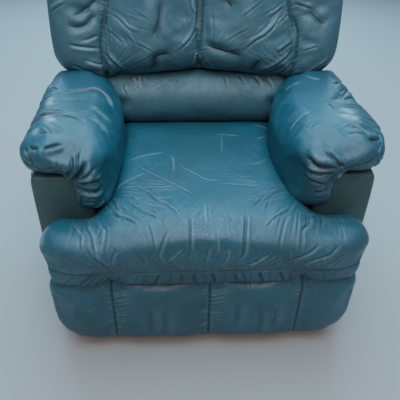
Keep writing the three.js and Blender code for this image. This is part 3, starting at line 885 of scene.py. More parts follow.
class Footrest(Padded):
    """The footrest's pad in four sewn sections, with two rounded lower corners.

    Attributes:
        SEAMS: Places of the seams across the front.
        HALF: Half the width that the sections share.
        CORNER: Radius of the lower corners.
        RUNS: How many fine puckers run out to each side of a seam.
        DENTS: Places (x, z) of the soft dents.
        NICKS: Places (x, z) of the pale nicks.
    """

    SEAMS = (-0.262, 0.012, 0.274)
    HALF = 0.43
    CORNER = 0.105
    RUNS = 18
    DENTS = ((-0.16, 0.14), (-0.12, 0.13), (0.09, 0.15), (0.20, 0.15), (0.16, 0.12))
    NICKS = ((-0.375, 0.22), (-0.33, 0.20), (0.20, 0.20), (0.195, 0.16))

    def blank(self) -> bpy.types.Object:
        """Blocks out the pad with its lower corners rounded. Returns the object."""
        low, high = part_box(self.node)
        start = (low[0] + 0.002, low[1] - 0.003, low[2] + 0.002)
        end = (high[0] - 0.002, high[1], high[2] + 0.004)
        obj = block("pad", start, end)
        activate(obj)
        bpy.ops.object.mode_set(mode="EDIT")
        mesh = bmesh.from_edit_mesh(obj.data)
        middle = (low[2] + high[2]) / 2
        for edge in mesh.edges:
            a, b = (v.co for v in edge.verts)
            edge.select = abs(a.y - b.y) > 0.01 and max(a.z, b.z) < middle
        bmesh.update_edit_mesh(obj.data)
        bpy.ops.mesh.bevel(offset=self.CORNER, segments=10, affect="EDGES")
        bpy.ops.object.mode_set(mode="OBJECT")
        sharp = {"limit_method": "ANGLE", "angle_limit": math.radians(40)}
        apply_modifier(obj, "BEVEL", width=0.027, segments=5, **sharp)
        return obj

    def seam(self, place: float) -> list[Point]:
        """A seam down the front at one place across."""
        low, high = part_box(self.node)
        ways = ((low[1] + 0.03, high[2]), (low[1], high[2] - 0.02), (low[1], 0.16), (low[1], low[2]))
        return [(place, y, z) for y, z in ways]

    def model(self, clay: Clay) -> None:
        """Domes each section and draws the front back near its top."""
        x, _, z = clay.xyz
        front = smoothstep(0.2, 0.8, -clay.normals[:, 1])
        u = across(x, np.array([-self.HALF, *self.SEAMS, self.HALF]))
        clay.points[:, 1] -= 0.003 * front * (1 - np.abs(u) ** 4)
        clay.points[:, 1] += 0.006 * smoothstep(0.25, 0.287, z) * front
        clay.refresh()

    def pins(self, clay: Clay) -> Array:
        """Holds the back and the seams."""
        x, y, _ = clay.xyz
        held = smoothstep(-0.350, -0.342, y)
        for place in self.SEAMS:
            held = np.maximum(held, (np.abs(x - place) < 0.005) * 1.0)
        return held

    def dress(self, clay: Clay) -> None:
        """Adds the slanted puckers beside the seams and a few soft dents."""
        for place in self.SEAMS:
            clay.groove(self.seam(place), 0.0028, 0.0045)
        for side in (-1, 1):
            for start, end, size in self.PUCKERS:
                base = self.SEAMS[0] if side < 0 else self.SEAMS[1]
                middle = (base + 0.03, (start + end) / 2)
                path = front((base + 0.004, start), middle, (base + 0.062 * size, end))
                clay.press(path, 0.45 * size, fade=(0.05, 0.6), wear=0.25)
        rng = np.random.default_rng(21)
        for i, place in enumerate(self.SEAMS):
            for k in range(self.RUNS):
                height = 0.06 + 0.20 * (k + rng.uniform(0.2, 0.8)) / self.RUNS
                for way in (-1, 1):
                    if i < 2 and way > 0 and height > 0.15:
                        continue
                    run = rng.uniform(0.012, 0.034)
                    rise = rng.uniform(-0.004, 0.006)
                    path = front((place + way * 0.003, height), (place + way * run, height + rise))
                    clay.press(path, rng.uniform(0.18, 0.38), fade=(0.02, 0.7), wear=0.2)
        for x, z in self.DENTS:
            path = front((x, z + 0.07), (x + 0.004, z), (x - 0.003, z - 0.06))
            clay.press(path, 0.5, width=0.010, wear=0.1)
        clay.refresh()
        # A faint pale band along the rolled top: a painted highlight.
        highlight_rim = [clay.on(Face.FRONT, x, 0.266) for x in np.linspace(-0.40, 0.41, 15)]
        clay.scuff(highlight_rim, 0.008, 0.04)
        for x, z in self.NICKS:
            clay.scuff([clay.on(Face.FRONT, x, z), clay.on(Face.FRONT, x + 0.006, z - 0.014)], 0.0018, 0.5)

    PUCKERS = (
        (0.236, 0.262, 1.1), (0.222, 0.256, 1.3), (0.205, 0.240, 1.0), (0.190, 0.222, 1.2),
        (0.170, 0.196, 0.8),
        (0.150, 0.172, 0.9), (0.128, 0.146, 0.7),
    )


@dataclass(frozen=True)
class ArmShape:
    """What differs between the two arm pads, as on the sitter's left.

    Attributes:
        outer: Places (y, x) of the outer side.
        inner: Places (y, x) of the inner side.
        seam: Path of the front seam.
        dips: Rows of a path, a half-width and a depth.
        creases: Rows of a path, a size, a lip and how far its lip is rubbed pale.
        scuffs_and_sheens: Rows of a path, a half-width and a strength; the wide rows near the outer edge are
            painted sheen.
    """

    outer: Sequence[tuple[float, float]]
    inner: Sequence[tuple[float, float]]
    seam: Sequence[tuple]
    dips: Sequence[tuple]
    creases: Sequence[tuple]
    scuffs_and_sheens: Sequence[tuple]


@dataclass
class ArmPad(Padded):
    """A pad over one arm, with a lobe that hangs at its inner front.

    It is modelled on the sitter's left and mirrored for the other arm.

    Attributes:
        side: 1 for the sitter's left arm, at +X, and -1 for the right one.
        shape: Its outlines, seam and creases.
        OUTER: The blank's outer side.
        INNER: Its inner side.
        CREASES: How many short creases come over its outer edge.
    """

    side: int = 1
    shape: ArmShape | None = None

    OUTER = 0.480
    INNER = 0.252
    CREASES = 26

    def blank(self) -> bpy.types.Object:
        """Blocks out the pad. Returns the joined object."""
        top = block("top", (0.262, -0.278, 0.550), (self.OUTER, 0.284, 0.650), 0.045, 6)
        drape = block("drape", (self.INNER, -0.284, 0.452), (0.330, 0.235, 0.640), 0.030, 5)
        front = block("front", (0.264, -0.304, 0.566), (0.456, -0.220, 0.646), 0.030, 5)
        lobe = block("lobe", (0.262, -0.304, 0.462), (0.348, -0.236, 0.620), 0.030, 5)
        wedge = block("wedge", (0.300, -0.302, 0.535), (0.372, -0.244, 0.620), 0.026, 4)
        return join(self.name, [top, drape, front, lobe, wedge])

    def model(self, clay: Clay) -> None:
        """Moves the outer and inner sides to their outlines and crowns the top."""
        x, y, z = clay.xyz
        outline = np.interp(y, *np.array(self.shape.outer).T) - self.OUTER
        clay.points[:, 0] += outline * smoothstep(0.34, 0.47, x)
        outline = np.interp(y, *np.array(self.shape.inner).T) - self.INNER
        clay.points[:, 0] += outline * smoothstep(0.36, 0.27, x)
        top = smoothstep(0.56, 0.64, z)
        nose = smoothstep(-0.20, -0.32, y) * smoothstep(0.42, 0.30, x)
        clay.points[:, 2] += top * (0.007 * bell(x, 0.36, 0.09) - 0.020 * nose)
        slope = smoothstep(0.345, 0.440, x) * smoothstep(-0.26, -0.29, y) * smoothstep(0.62, 0.57, z)
        clay.points[:, 2] += 0.014 * slope

    def pins(self, clay: Clay) -> Array:
        """Holds the underside."""
        x, y, z = clay.xyz
        return smoothstep(0.560, 0.554, z) * (x > 0.34) * (y > -0.27)

    def place(self, obj: bpy.types.Object) -> None:
        """Mirrors the mesh for the sitter's right arm."""
        if self.side < 0:
            obj.data.transform(Matrix.Scale(-1.0, 4, (1.0, 0.0, 0.0)))
            obj.data.flip_normals()

    def dress(self, clay: Clay) -> None:
        """Creases the pad, with the folds that are bunched at its front seam."""
        clay.groove(clay.trace(self.shape.seam), 0.0030, 0.0042)
        for path, size, lip, wear in self.shape.creases:
            clay.press(path, 1.3 * size, lip=lip, wear=0.35 * wear)
        for path, width, depth in self.shape.dips:
            clay.fold(Fold(clay.trace(path), width, depth, 0.5))
        clay.refresh()
        clay.fan(Face.TOP, (0.478, -0.03), (150.0, 210.0), 0.13, 9, 51 + self.side)
        clay.fan(Face.TOP, (0.478, -0.17), (150.0, 210.0), 0.15, 10, 54 + self.side)
        clay.fan(Face.FRONT, (0.348, 0.560), (20.0, 250.0), 0.09, 14, 57 + self.side)
        rng = np.random.default_rng(31 + self.side)
        for _ in range(self.CREASES):
            place = rng.uniform(-0.22, 0.22)
            x = 0.478 - rng.uniform(0.0, 0.02)
            run = rng.uniform(0.02, 0.05)
            slant = rng.uniform(-0.012, 0.012)
            path = outer((place, 0.575), (place, 0.61)) + top((x - run, place + slant))
            clay.press(path, rng.uniform(0.2, 0.6), fade=(0.2, 0.6), lip=rng.choice([-0.8, 0.8]), wear=0.12)
        clay.refresh()
        clay.scuffs_and_sheens(self.shape.scuffs_and_sheens)


RIGHT_ARM = ArmShape(
    outer=((-0.305, 0.440), (-0.280, 0.464), (-0.230, 0.480), (-0.150, 0.475), (0.0, 0.483),
        (0.12, 0.492), (0.29, 0.492)),
    inner=((-0.305, 0.262), (-0.270, 0.254), (-0.100, 0.246), (0.030, 0.249), (0.110, 0.262),
        (0.240, 0.310)),
    seam=front(
        (0.466, 0.618), (0.452, 0.612), (0.430, 0.600), (0.405, 0.591), (0.375, 0.578), (0.352, 0.565),
        (0.340, 0.548),
        (0.331, 0.532), (0.326, 0.510), (0.327, 0.480),
    ),
    dips=(
        (top((0.465, 0.0), (0.43, -0.006), (0.40, -0.010), (0.365, 0.012), (0.33, 0.026), (0.295, 0.020),
         (0.262, -0.02)),
         0.015, 0.0065),
        (outer((-0.145, 0.61)) + top((0.445, -0.145), (0.40, -0.142), (0.36, -0.148)), 0.012, 0.0035),
        (top((0.445, -0.225), (0.40, -0.235), (0.355, -0.225)), 0.014, 0.003),
        (front((0.34, 0.550), (0.325, 0.575), (0.300, 0.595)), 0.011, 0.004),
    ),
    creases=(
        (outer((0.0, 0.60))
         + top((0.455, -0.005), (0.432, -0.009), (0.405, -0.013), (0.378, 0.002), (0.345, 0.017)),
         1.5, 0.9, 0.3),
        (top((0.360, 0.010), (0.33, 0.025), (0.31, 0.027), (0.285, 0.010), (0.262, -0.025)),
         1.8, -0.9, 0.3),
        (outer((-0.11, 0.60))
         + top((0.45, -0.112), (0.422, -0.110), (0.385, -0.122), (0.338, -0.13), (0.30, -0.13)),
         0.9, 0.9, 0.7),
        (top((0.325, -0.085), (0.30, -0.09), (0.275, -0.102), (0.258, -0.125)), 0.7, 0.9, 0.8),
        (top((0.31, -0.14), (0.29, -0.146), (0.273, -0.158), (0.260, -0.185)), 0.8, 0.9, 0.8),
        (outer((-0.17, 0.60))
         + top((0.44, -0.168), (0.415, -0.165), (0.375, -0.155), (0.335, -0.17), (0.31, -0.195)),
         0.9, -0.9, 0.6),
        (outer((-0.12, 0.61)) + top((0.45, -0.125), (0.43, -0.132), (0.385, -0.127)), 1.0, 0.8, 0.3),
        (outer((0.05, 0.60)) + top((0.45, 0.05), (0.43, 0.035), (0.41, 0.03)), 0.8, 0.8, 0.3),
        (outer((-0.05, 0.60)) + top((0.45, -0.05), (0.42, -0.035), (0.39, -0.03)), 0.8, 0.8, 0.4),
        (top((0.447, -0.262), (0.43, -0.28), (0.412, -0.292)), 1.3, 0.9, 0.3),
        (top((0.41, -0.293), (0.385, -0.284), (0.355, -0.272)), 1.6, 0.9, 0.2),
        (front((0.46, 0.632), (0.445, 0.622), (0.425, 0.605)), 1.1, 0.8, 0.3),
        (front((0.465, 0.60), (0.45, 0.595), (0.43, 0.588)), 0.8, 0.8, 0.3),
        (front((0.357, 0.570), (0.348, 0.585), (0.338, 0.60)), 1.3, 0.9, 0.2),
        (front((0.346, 0.560), (0.325, 0.583), (0.308, 0.603), (0.296, 0.622)), 2.0, 0.9, 0.3),
        (front((0.335, 0.572), (0.336, 0.60), (0.335, 0.63)), 1.2, 0.6, 0.1),
        (front((0.325, 0.59), (0.321, 0.61), (0.322, 0.635)), 1.1, 0.6, 0.1),
        (front((0.318, 0.568), (0.30, 0.582), (0.280, 0.60)), 1.1, 0.9, 0.6),
        (front((0.341, 0.556), (0.31, 0.556), (0.29, 0.558), (0.266, 0.556)), 1.2, -0.9, 0.4),
        (front((0.338, 0.535), (0.315, 0.535), (0.285, 0.528), (0.267, 0.526)), 1.9, 0.9, 0.3),
        (front((0.330, 0.512), (0.305, 0.513), (0.280, 0.510)), 0.9, 0.7, 0.2),
        (front((0.325, 0.495), (0.305, 0.497), (0.285, 0.492)), 0.6, 0.7, 0.2),
        (front((0.405, 0.597), (0.385, 0.602), (0.365, 0.603)), 0.6, 0.6, 0.1),
    ),
    scuffs_and_sheens=(
        # These four wide rows near the outer edge are a painted sheen, a painted reflection.
        (top((0.435, -0.02), (0.432, -0.06), (0.425, -0.085)), 0.011, 0.8),
        (top((0.425, -0.145), (0.405, -0.175), (0.385, -0.175)), 0.013, 0.9),
        (top((0.44, -0.20), (0.43, -0.235)), 0.010, 0.5),
        (top((0.465, 0.10), (0.455, 0.06)), 0.008, 0.5),
        (front((0.305, 0.470), (0.285, 0.476), (0.270, 0.492)), 0.0035, 0.8),
        (front((0.345, 0.50), (0.342, 0.475), (0.325, 0.462)), 0.0025, 0.5),
    ),
)
LEFT_ARM = ArmShape(
    outer=(
        (-0.305, 0.440), (-0.280, 0.466), (-0.200, 0.488), (-0.140, 0.494), (-0.070, 0.488),
        (-0.030, 0.477),
        (0.020, 0.473), (0.120, 0.485), (0.200, 0.493), (0.290, 0.492),
    ),
    inner=(
        (-0.305, 0.256), (-0.270, 0.240), (-0.200, 0.229), (-0.100, 0.222), (0.0, 0.224), (0.060, 0.236),
        (0.120, 0.255), (0.180, 0.285), (0.240, 0.320),
    ),
    seam=front(
        (0.468, 0.640), (0.455, 0.630), (0.430, 0.615), (0.405, 0.607), (0.380, 0.600), (0.357, 0.594),
        (0.340, 0.580),
        (0.325, 0.560), (0.318, 0.540), (0.318, 0.515),
    ),
    dips=(
        (outer((0.05, 0.61)) + top((0.445, 0.035), (0.42, -0.005), (0.395, -0.045), (0.365, -0.080)),
         0.014, 0.0045),
        (outer((-0.10, 0.61)) + top((0.445, -0.102), (0.41, -0.100), (0.38, -0.098)), 0.010, 0.004),
        (top((0.445, -0.215), (0.405, -0.222), (0.370, -0.215)), 0.013, 0.003),
        (front((0.262, 0.592), (0.300, 0.590), (0.335, 0.583)), 0.010, 0.004),
    ),
    creases=(
        (outer((0.09, 0.60)) + top((0.45, 0.09), (0.437, 0.083), (0.412, 0.066)), 1.4, 0.9, 0.3),
        (outer((0.02, 0.60)) + top((0.448, 0.015), (0.43, -0.008), (0.405, -0.02)), 1.3, 0.9, 0.4),
        (outer((-0.03, 0.60)) + top((0.445, -0.035), (0.432, -0.045), (0.41, -0.066)), 1.2, -0.9, 0.4),
        (outer((-0.08, 0.60))
         + top((0.445, -0.088), (0.425, -0.09), (0.40, -0.09), (0.375, -0.08), (0.357, -0.05)),
         1.5, 0.9, 0.3),
        (top((0.375, -0.118), (0.362, -0.10), (0.352, -0.078)), 0.9, 0.8, 0.4),
        (outer((-0.12, 0.60)) + top((0.45, -0.115), (0.42, -0.11), (0.395, -0.108)), 1.1, -0.9, 0.5),
        (outer((-0.15, 0.61)) + top((0.44, -0.16), (0.395, -0.15), (0.365, -0.138)), 1.1, 0.9, 0.6),
        (outer((-0.19, 0.61)) + top((0.45, -0.19), (0.405, -0.18), (0.378, -0.165)), 0.9, 0.9, 0.5),
        (top((0.39, -0.205), (0.41, -0.23), (0.425, -0.25)), 0.9, 0.8, 0.5),
        (top((0.365, -0.245), (0.395, -0.25), (0.422, -0.256)), 1.2, -0.8, 0.2),
        (top((0.418, -0.262), (0.445, -0.25), (0.462, -0.24)), 1.5, 0.8, 0.3),
        (front((0.468, 0.612), (0.455, 0.610), (0.438, 0.603)), 1.2, 0.8, 0.3),
        (front((0.468, 0.592), (0.455, 0.590), (0.440, 0.584)), 1.0, 0.8, 0.3),
        (front((0.455, 0.574), (0.41, 0.568), (0.37, 0.562)), 0.9, 0.8, 0.3),
        (front((0.252, 0.614), (0.28, 0.604), (0.315, 0.600), (0.338, 0.590)), 2.0, 0.9, 0.5),
        (top((0.302, -0.288)) + front((0.315, 0.622), (0.335, 0.606), (0.357, 0.597)), 1.5, 0.9, 0.2),
        (front((0.258, 0.577), (0.285, 0.575), (0.315, 0.578), (0.332, 0.574)), 1.8, 0.9, 0.6),
        (front((0.255, 0.562), (0.285, 0.550), (0.31, 0.547), (0.323, 0.552)), 1.0, 0.8, 0.3),
        (front((0.285, 0.521), (0.30, 0.520), (0.32, 0.528)), 0.8, 0.8, 0.2),
        (front((0.29, 0.50), (0.31, 0.50), (0.325, 0.506)), 0.6, 0.8, 0.2),
        (top((0.335, 0.14), (0.36, 0.11), (0.39, 0.095)), 0.7, 0.8, 0.4),
        (top((0.26, 0.06), (0.29, 0.075), (0.325, 0.08)), 0.5, 0.8, 0.4),
        (top((0.275, -0.22), (0.29, -0.20), (0.315, -0.19)), 0.5, 0.8, 0.3),
    ),
    scuffs_and_sheens=(
        (top((0.235, -0.17), (0.26, -0.142), (0.31, -0.125)), 0.002, 0.7),
        # These four wide rows near the outer edge are a painted sheen, a painted reflection.
        (top((0.38, -0.115), (0.40, -0.13), (0.415, -0.15)), 0.012, 0.8),
        (top((0.37, -0.15), (0.395, -0.17), (0.42, -0.185)), 0.012, 0.9),
        (top((0.41, -0.045), (0.38, -0.065)), 0.009, 0.5),
        (top((0.45, 0.13), (0.455, 0.10)), 0.008, 0.4),
        (front((0.262, 0.595), (0.275, 0.588), (0.295, 0.585)), 0.007, 0.4),
        (front((0.343, 0.570), (0.352, 0.562)), 0.004, 1.0),
        (front((0.366, 0.566), (0.373, 0.560)), 0.003, 1.0),
        (front((0.295, 0.478), (0.315, 0.466), (0.332, 0.474)), 0.0035, 0.7),
    ),
)


class Pillow(Leaning):
    """The back's pillow: a wing, two middle sections and a wing, over the arms and the lumbar roll.

    Attributes:
        EDGES: Places of the sections' edges.
        BOTTOM: Places (x, z) of the lower edge.
        FANS: Places (x, z) on the seams' lower ends that creases fan out from, and their directions.
        RUNS: How many fine puckers run out to each side of a seam.
    """

    EDGES = (-0.474, -0.305, 0.002, 0.309, 0.464)
    BOTTOM = (
        (-0.475, 0.318), (-0.442, 0.306), (-0.376, 0.294), (-0.335, 0.277), (-0.305, 0.272),
        (-0.275, 0.290), (-0.225, 0.294), (-0.100, 0.305), (0.000, 0.313), (0.136, 0.302),
        (0.250, 0.288), (0.285, 0.283), (0.310, 0.267), (0.360, 0.283), (0.435, 0.310), (0.465, 0.320),
    )

    FANS = (((-0.312, 0.285), (20.0, 85.0)), ((0.322, 0.285), (95.0, 160.0)), ((0.0, 0.31), (30.0, 150.0)))
    RUNS = 26

    def blank(self) -> bpy.types.Object:
        """Blocks out the pillow, upright. Returns the object."""
        return block("pillow", (self.EDGES[0], -0.148, 0.285), (self.EDGES[-1], -0.018, 0.690), 0.057, 7)

    def seams(self) -> list[list[Point]]:
        """The three seams down the front, upright."""
        left = [(-0.284, -0.12, 0.700), (-0.290, -0.15, 0.600), (-0.291, -0.15, 0.520)]
        left += [(-0.306, -0.15, 0.434), (-0.312, -0.15, 0.381)]
        left += [(-0.304, -0.14, 0.300), (-0.303, -0.10, 0.265)]
        middle = [(0.002, -0.12, 0.700), (0.004, -0.15, 0.520), (0.000, -0.15, 0.400), (0.002, -0.11, 0.300)]
        right = [(0.280, -0.12, 0.700), (0.288, -0.15, 0.525), (0.305, -0.15, 0.467), (0.320, -0.15, 0.407)]
        right += [(0.316, -0.14, 0.320), (0.310, -0.10, 0.265)]
        return [left, middle, right]

    def model(self, clay: Clay) -> None:
        """Shapes the lower edge, domes the sections and presses the seams in."""
        x, _, z = clay.xyz
        front = smoothstep(0.0, 0.7, -clay.normals[:, 1])
        u = across(x, np.array(self.EDGES))
        clay.points[:, 1] -= front * (0.024 * (1 - np.abs(u) ** 2.6) - 0.010 + 0.008 * bell(z, 0.40, 0.09))
        clay.points[:, 1] += 0.012 * front * smoothstep(0.54, 0.68, z)
        bottom = np.interp(x, *np.array(self.BOTTOM).T)
        clay.points[:, 2] += (bottom - 0.285) * smoothstep(0.43, 0.31, z)
        clay.refresh()
        for seam in self.seams():
            clay.groove(seam, 0.012, 0.008)

    def pins(self, clay: Clay) -> Array:
        """Holds the back and the seams."""
        held = smoothstep(-0.034, -0.026, clay.points[:, 1])
        for seam in self.seams():
            index, _, _, _ = clay.near(smooth_path(seam), 0.007)
            held[index] = 1.0
        return held

    def dress(self, clay: Clay) -> None:
        """Creases each section, and puckers it along its seams."""
        for seam in self.seams():
            clay.groove(seam, 0.0028, 0.0045)
        for path, size, lip, wear in self.CREASES:
            clay.press(front(*path), 0.72 * size, lip=lip, wear=wear)
        for path, size in self.VALLEYS:
            clay.press(front(*path), 0.9 * size, width=0.015, lip=0.4)
            clay.press(front(*path), 0.45, lip=0.6)
        for place, angles in self.FANS:
            clay.fan(Face.FRONT, place, angles, 0.22, 12, int(100 * (1 + place[0])))
        clay.fan(Face.FRONT, (-0.300, 0.52), (-80.0, -15.0), 0.20, 9, 42)
        clay.fan(Face.FRONT, (0.300, 0.53), (195.0, 260.0), 0.20, 9, 43)
        rng = np.random.default_rng(41)
        for number, seam in enumerate(self.seams()):
            samples = smooth_path(seam, 0.004)
            for k in range(self.RUNS):
                x, _, z = samples[int(len(samples) * (0.10 + 0.86 * (k + rng.uniform(0.2, 0.8)) / self.RUNS))]
                for way in (-1, 1):
                    run = rng.uniform(0.010, 0.034)
                    drop = run * rng.uniform(0.1, 0.9) * (1 if way * (number - 0.9) > 0 else -1)
                    middle = (x + way * run * 0.5, z + drop * 0.35)
                    path = front((x + way * 0.004, z), middle, (x + way * run, z + drop))
                    size = rng.uniform(0.10, 0.42)
                    clay.press(path, size, fade=(0.02, 0.7), lip=rng.choice([-0.8, 0.8]), wear=0.1)
        clay.refresh()
        clay.scuff([clay.on(Face.OUTER, -0.10, 0.50), clay.on(Face.OUTER, -0.11, 0.40)], 0.008, 0.3)

    CREASES = (
        (((-0.335, 0.51), (-0.345, 0.492), (-0.36, 0.475)), 1.0, 0.8, 0.2),
        (((-0.468, 0.485), (-0.44, 0.50), (-0.41, 0.513)), 1.4, 0.8, 0.3),
        (((-0.318, 0.42), (-0.345, 0.406), (-0.372, 0.40)), 1.2, 0.8, 0.2),
        (((-0.311, 0.378), (-0.35, 0.382), (-0.388, 0.386), (-0.418, 0.393)), 1.6, 0.9, 0.4),
        (((-0.305, 0.325), (-0.34, 0.335), (-0.368, 0.346)), 1.0, 0.9, 0.6),
        (((-0.345, 0.30), (-0.38, 0.316), (-0.415, 0.332)), 1.2, 0.8, 0.2),
        (((-0.288, 0.484), (-0.265, 0.475), (-0.245, 0.46), (-0.225, 0.44), (-0.19, 0.423)), 0.9, 0.8, 0.2),
        (((-0.296, 0.437), (-0.27, 0.42), (-0.255, 0.406), (-0.237, 0.393)), 0.9, 0.8, 0.2),
        (((-0.207, 0.40), (-0.175, 0.385), (-0.143, 0.369)), 0.7, 0.8, 0.2),
        (((-0.311, 0.375), (-0.30, 0.362), (-0.287, 0.343), (-0.268, 0.328), (-0.245, 0.312),
         (-0.222, 0.304)),
         2.0, 0.9, 0.3),
        (((-0.304, 0.342), (-0.292, 0.32), (-0.272, 0.300)), 1.2, 0.8, 0.3),
        (((-0.08, 0.363), (-0.05, 0.385), (-0.022, 0.415), (-0.005, 0.455), (-0.003, 0.50)), 1.3, 0.8, 0.2),
        (((-0.010, 0.375), (-0.018, 0.350), (-0.025, 0.322)), 0.9, 0.8, 0.4),
        (((-0.029, 0.53), (-0.02, 0.495), (-0.008, 0.475)), 1.3, 0.8, 0.4),
        (((0.135, 0.365), (0.155, 0.385), (0.18, 0.405), (0.21, 0.42), (0.235, 0.445), (0.255, 0.468),
         (0.287, 0.492)),
         1.4, 0.9, 0.3),
        (((0.215, 0.42), (0.245, 0.45), (0.27, 0.468), (0.295, 0.494)), 1.1, 0.8, 0.3),
        (((0.22, 0.468), (0.25, 0.49), (0.268, 0.505)), 1.2, 0.8, 0.2),
        (((0.197, 0.305), (0.23, 0.315), (0.262, 0.332), (0.293, 0.355), (0.318, 0.381)), 1.9, 0.9, 0.3),
        (((0.25, 0.363), (0.285, 0.385), (0.315, 0.404)), 1.6, 0.9, 0.2),
        (((0.265, 0.292), (0.295, 0.318), (0.317, 0.335)), 1.4, 0.9, 0.3),
        (((0.235, 0.293), (0.262, 0.307), (0.285, 0.325)), 0.9, 0.8, 0.2),
        (((0.010, 0.362), (0.032, 0.325), (0.047, 0.308)), 1.0, 0.8, 0.2),
        (((0.13, 0.47), (0.155, 0.49), (0.20, 0.522)), 0.7, 0.8, 0.2),
        (((0.335, 0.37), (0.365, 0.38), (0.388, 0.388)), 0.9, 0.8, 0.2),
        (((0.325, 0.292), (0.37, 0.305), (0.41, 0.33), (0.44, 0.358)), 1.5, 0.9, 0.2),
        (((0.302, 0.515), (0.33, 0.508), (0.368, 0.496)), 1.3, 0.8, 0.2),
        (((-0.20, 0.66), (-0.215, 0.61), (-0.24, 0.57)), 1.0, 0.8, 0.2),
        (((0.19, 0.66), (0.215, 0.60), (0.25, 0.56)), 1.0, 0.8, 0.2),
    )
    VALLEYS = (
        (((-0.30, 0.535), (-0.35, 0.498), (-0.40, 0.472)), 2.2),
        (((-0.312, 0.478), (-0.335, 0.47), (-0.352, 0.452), (-0.378, 0.443), (-0.42, 0.447)), 2.8),
        (((-0.18, 0.305), (-0.148, 0.32), (-0.14, 0.35), (-0.112, 0.36), (-0.075, 0.366)), 2.6),
        (((-0.115, 0.53), (-0.125, 0.46), (-0.15, 0.40)), 1.6),
        (((0.015, 0.392), (0.05, 0.38), (0.085, 0.37), (0.12, 0.36), (0.148, 0.352)), 2.8),
        (((0.205, 0.348), (0.187, 0.325), (0.172, 0.303)), 2.0),
        (((0.08, 0.53), (0.10, 0.50)), 1.4),
        (((0.345, 0.50), (0.375, 0.47), (0.412, 0.447)), 1.6),
        (((-0.16, 0.62), (-0.10, 0.60), (-0.04, 0.61)), 1.8),
        (((0.05, 0.61), (0.12, 0.59), (0.18, 0.61)), 1.8),
    )


class Lumbar(Leaning):
    """The lumbar roll between the arms, wider at its top."""

    def blank(self) -> bpy.types.Object:
        """Blocks out the roll, upright. Returns the object."""
        return block("roll", (-0.286, -0.130, 0.126), (0.284, -0.018, 0.318), 0.050, 8)

    def model(self, clay: Clay) -> None:
        """Draws the top of its front back and flares the ends towards the top."""
        x, y, z = clay.xyz
        clay.points[:, 1] += 0.030 * smoothstep(0.215, 0.305, z) * smoothstep(-0.05, -0.10, y)
        flare = np.sign(x) * 0.036 * smoothstep(0.15, 0.29, z) * smoothstep(0.10, 0.25, np.abs(x))
        clay.points[:, 0] += flare
        clay.refresh()

    def dress(self, clay: Clay) -> None:
        """Adds the middle seam, a torn scuff and short creases along the top."""
        clay.groove([(0.006, -0.10, 0.31), (0.008, -0.14, 0.24), (0.006, -0.11, 0.15)], 0.0020, 0.0012)
        for path, size, wear in self.CREASES:
            clay.press(front(*path), size, wear=wear, fade=(0.15, 0.6))
        clay.refresh()
        clay.scuffs_and_sheens([(front(*path), width, strength) for path, width, strength in self.SCUFFS])

    CREASES = (
        (((-0.207, 0.290), (-0.205, 0.262), (-0.196, 0.235)), 0.8, 0.5), (((-0.19, 0.288), (-0.185, 0.262)),
         0.6, 0.4),
        (((-0.222, 0.275), (-0.21, 0.262), (-0.203, 0.24)), 0.6, 0.6), (((0.14, 0.29), (0.15, 0.275),
         (0.162, 0.256)),
         0.9, 0.2),
        (((0.187, 0.288), (0.205, 0.272), (0.218, 0.248)), 1.3, 0.3), (((0.088, 0.288), (0.094, 0.27),
         (0.10, 0.25)),
         0.7, 0.2),
        (((0.235, 0.28), (0.25, 0.262), (0.262, 0.24)), 0.8, 0.2), (((0.06, 0.27), (0.062, 0.23),
         (0.06, 0.20)),
         0.3, 0.1),
        (((0.125, 0.25), (0.127, 0.22), (0.125, 0.19)), 0.3, 0.1), (((-0.255, 0.262), (-0.25, 0.24),
         (-0.235, 0.22)),
         0.7, 0.2),
        (((-0.10, 0.285), (-0.098, 0.26)), 0.3, 0.1), (((-0.05, 0.29), (-0.052, 0.262)), 0.3, 0.1),
    )
    SCUFFS = (
        (((-0.221, 0.281), (-0.212, 0.276)), 0.0032, 1.0), (((-0.216, 0.272), (-0.206, 0.262)), 0.002, 0.7),
        (((-0.19, 0.27), (-0.196, 0.25), (-0.19, 0.235)), 0.002, 0.5),
    )


# ---- Covers ----------------------------------------------------------------------------------------


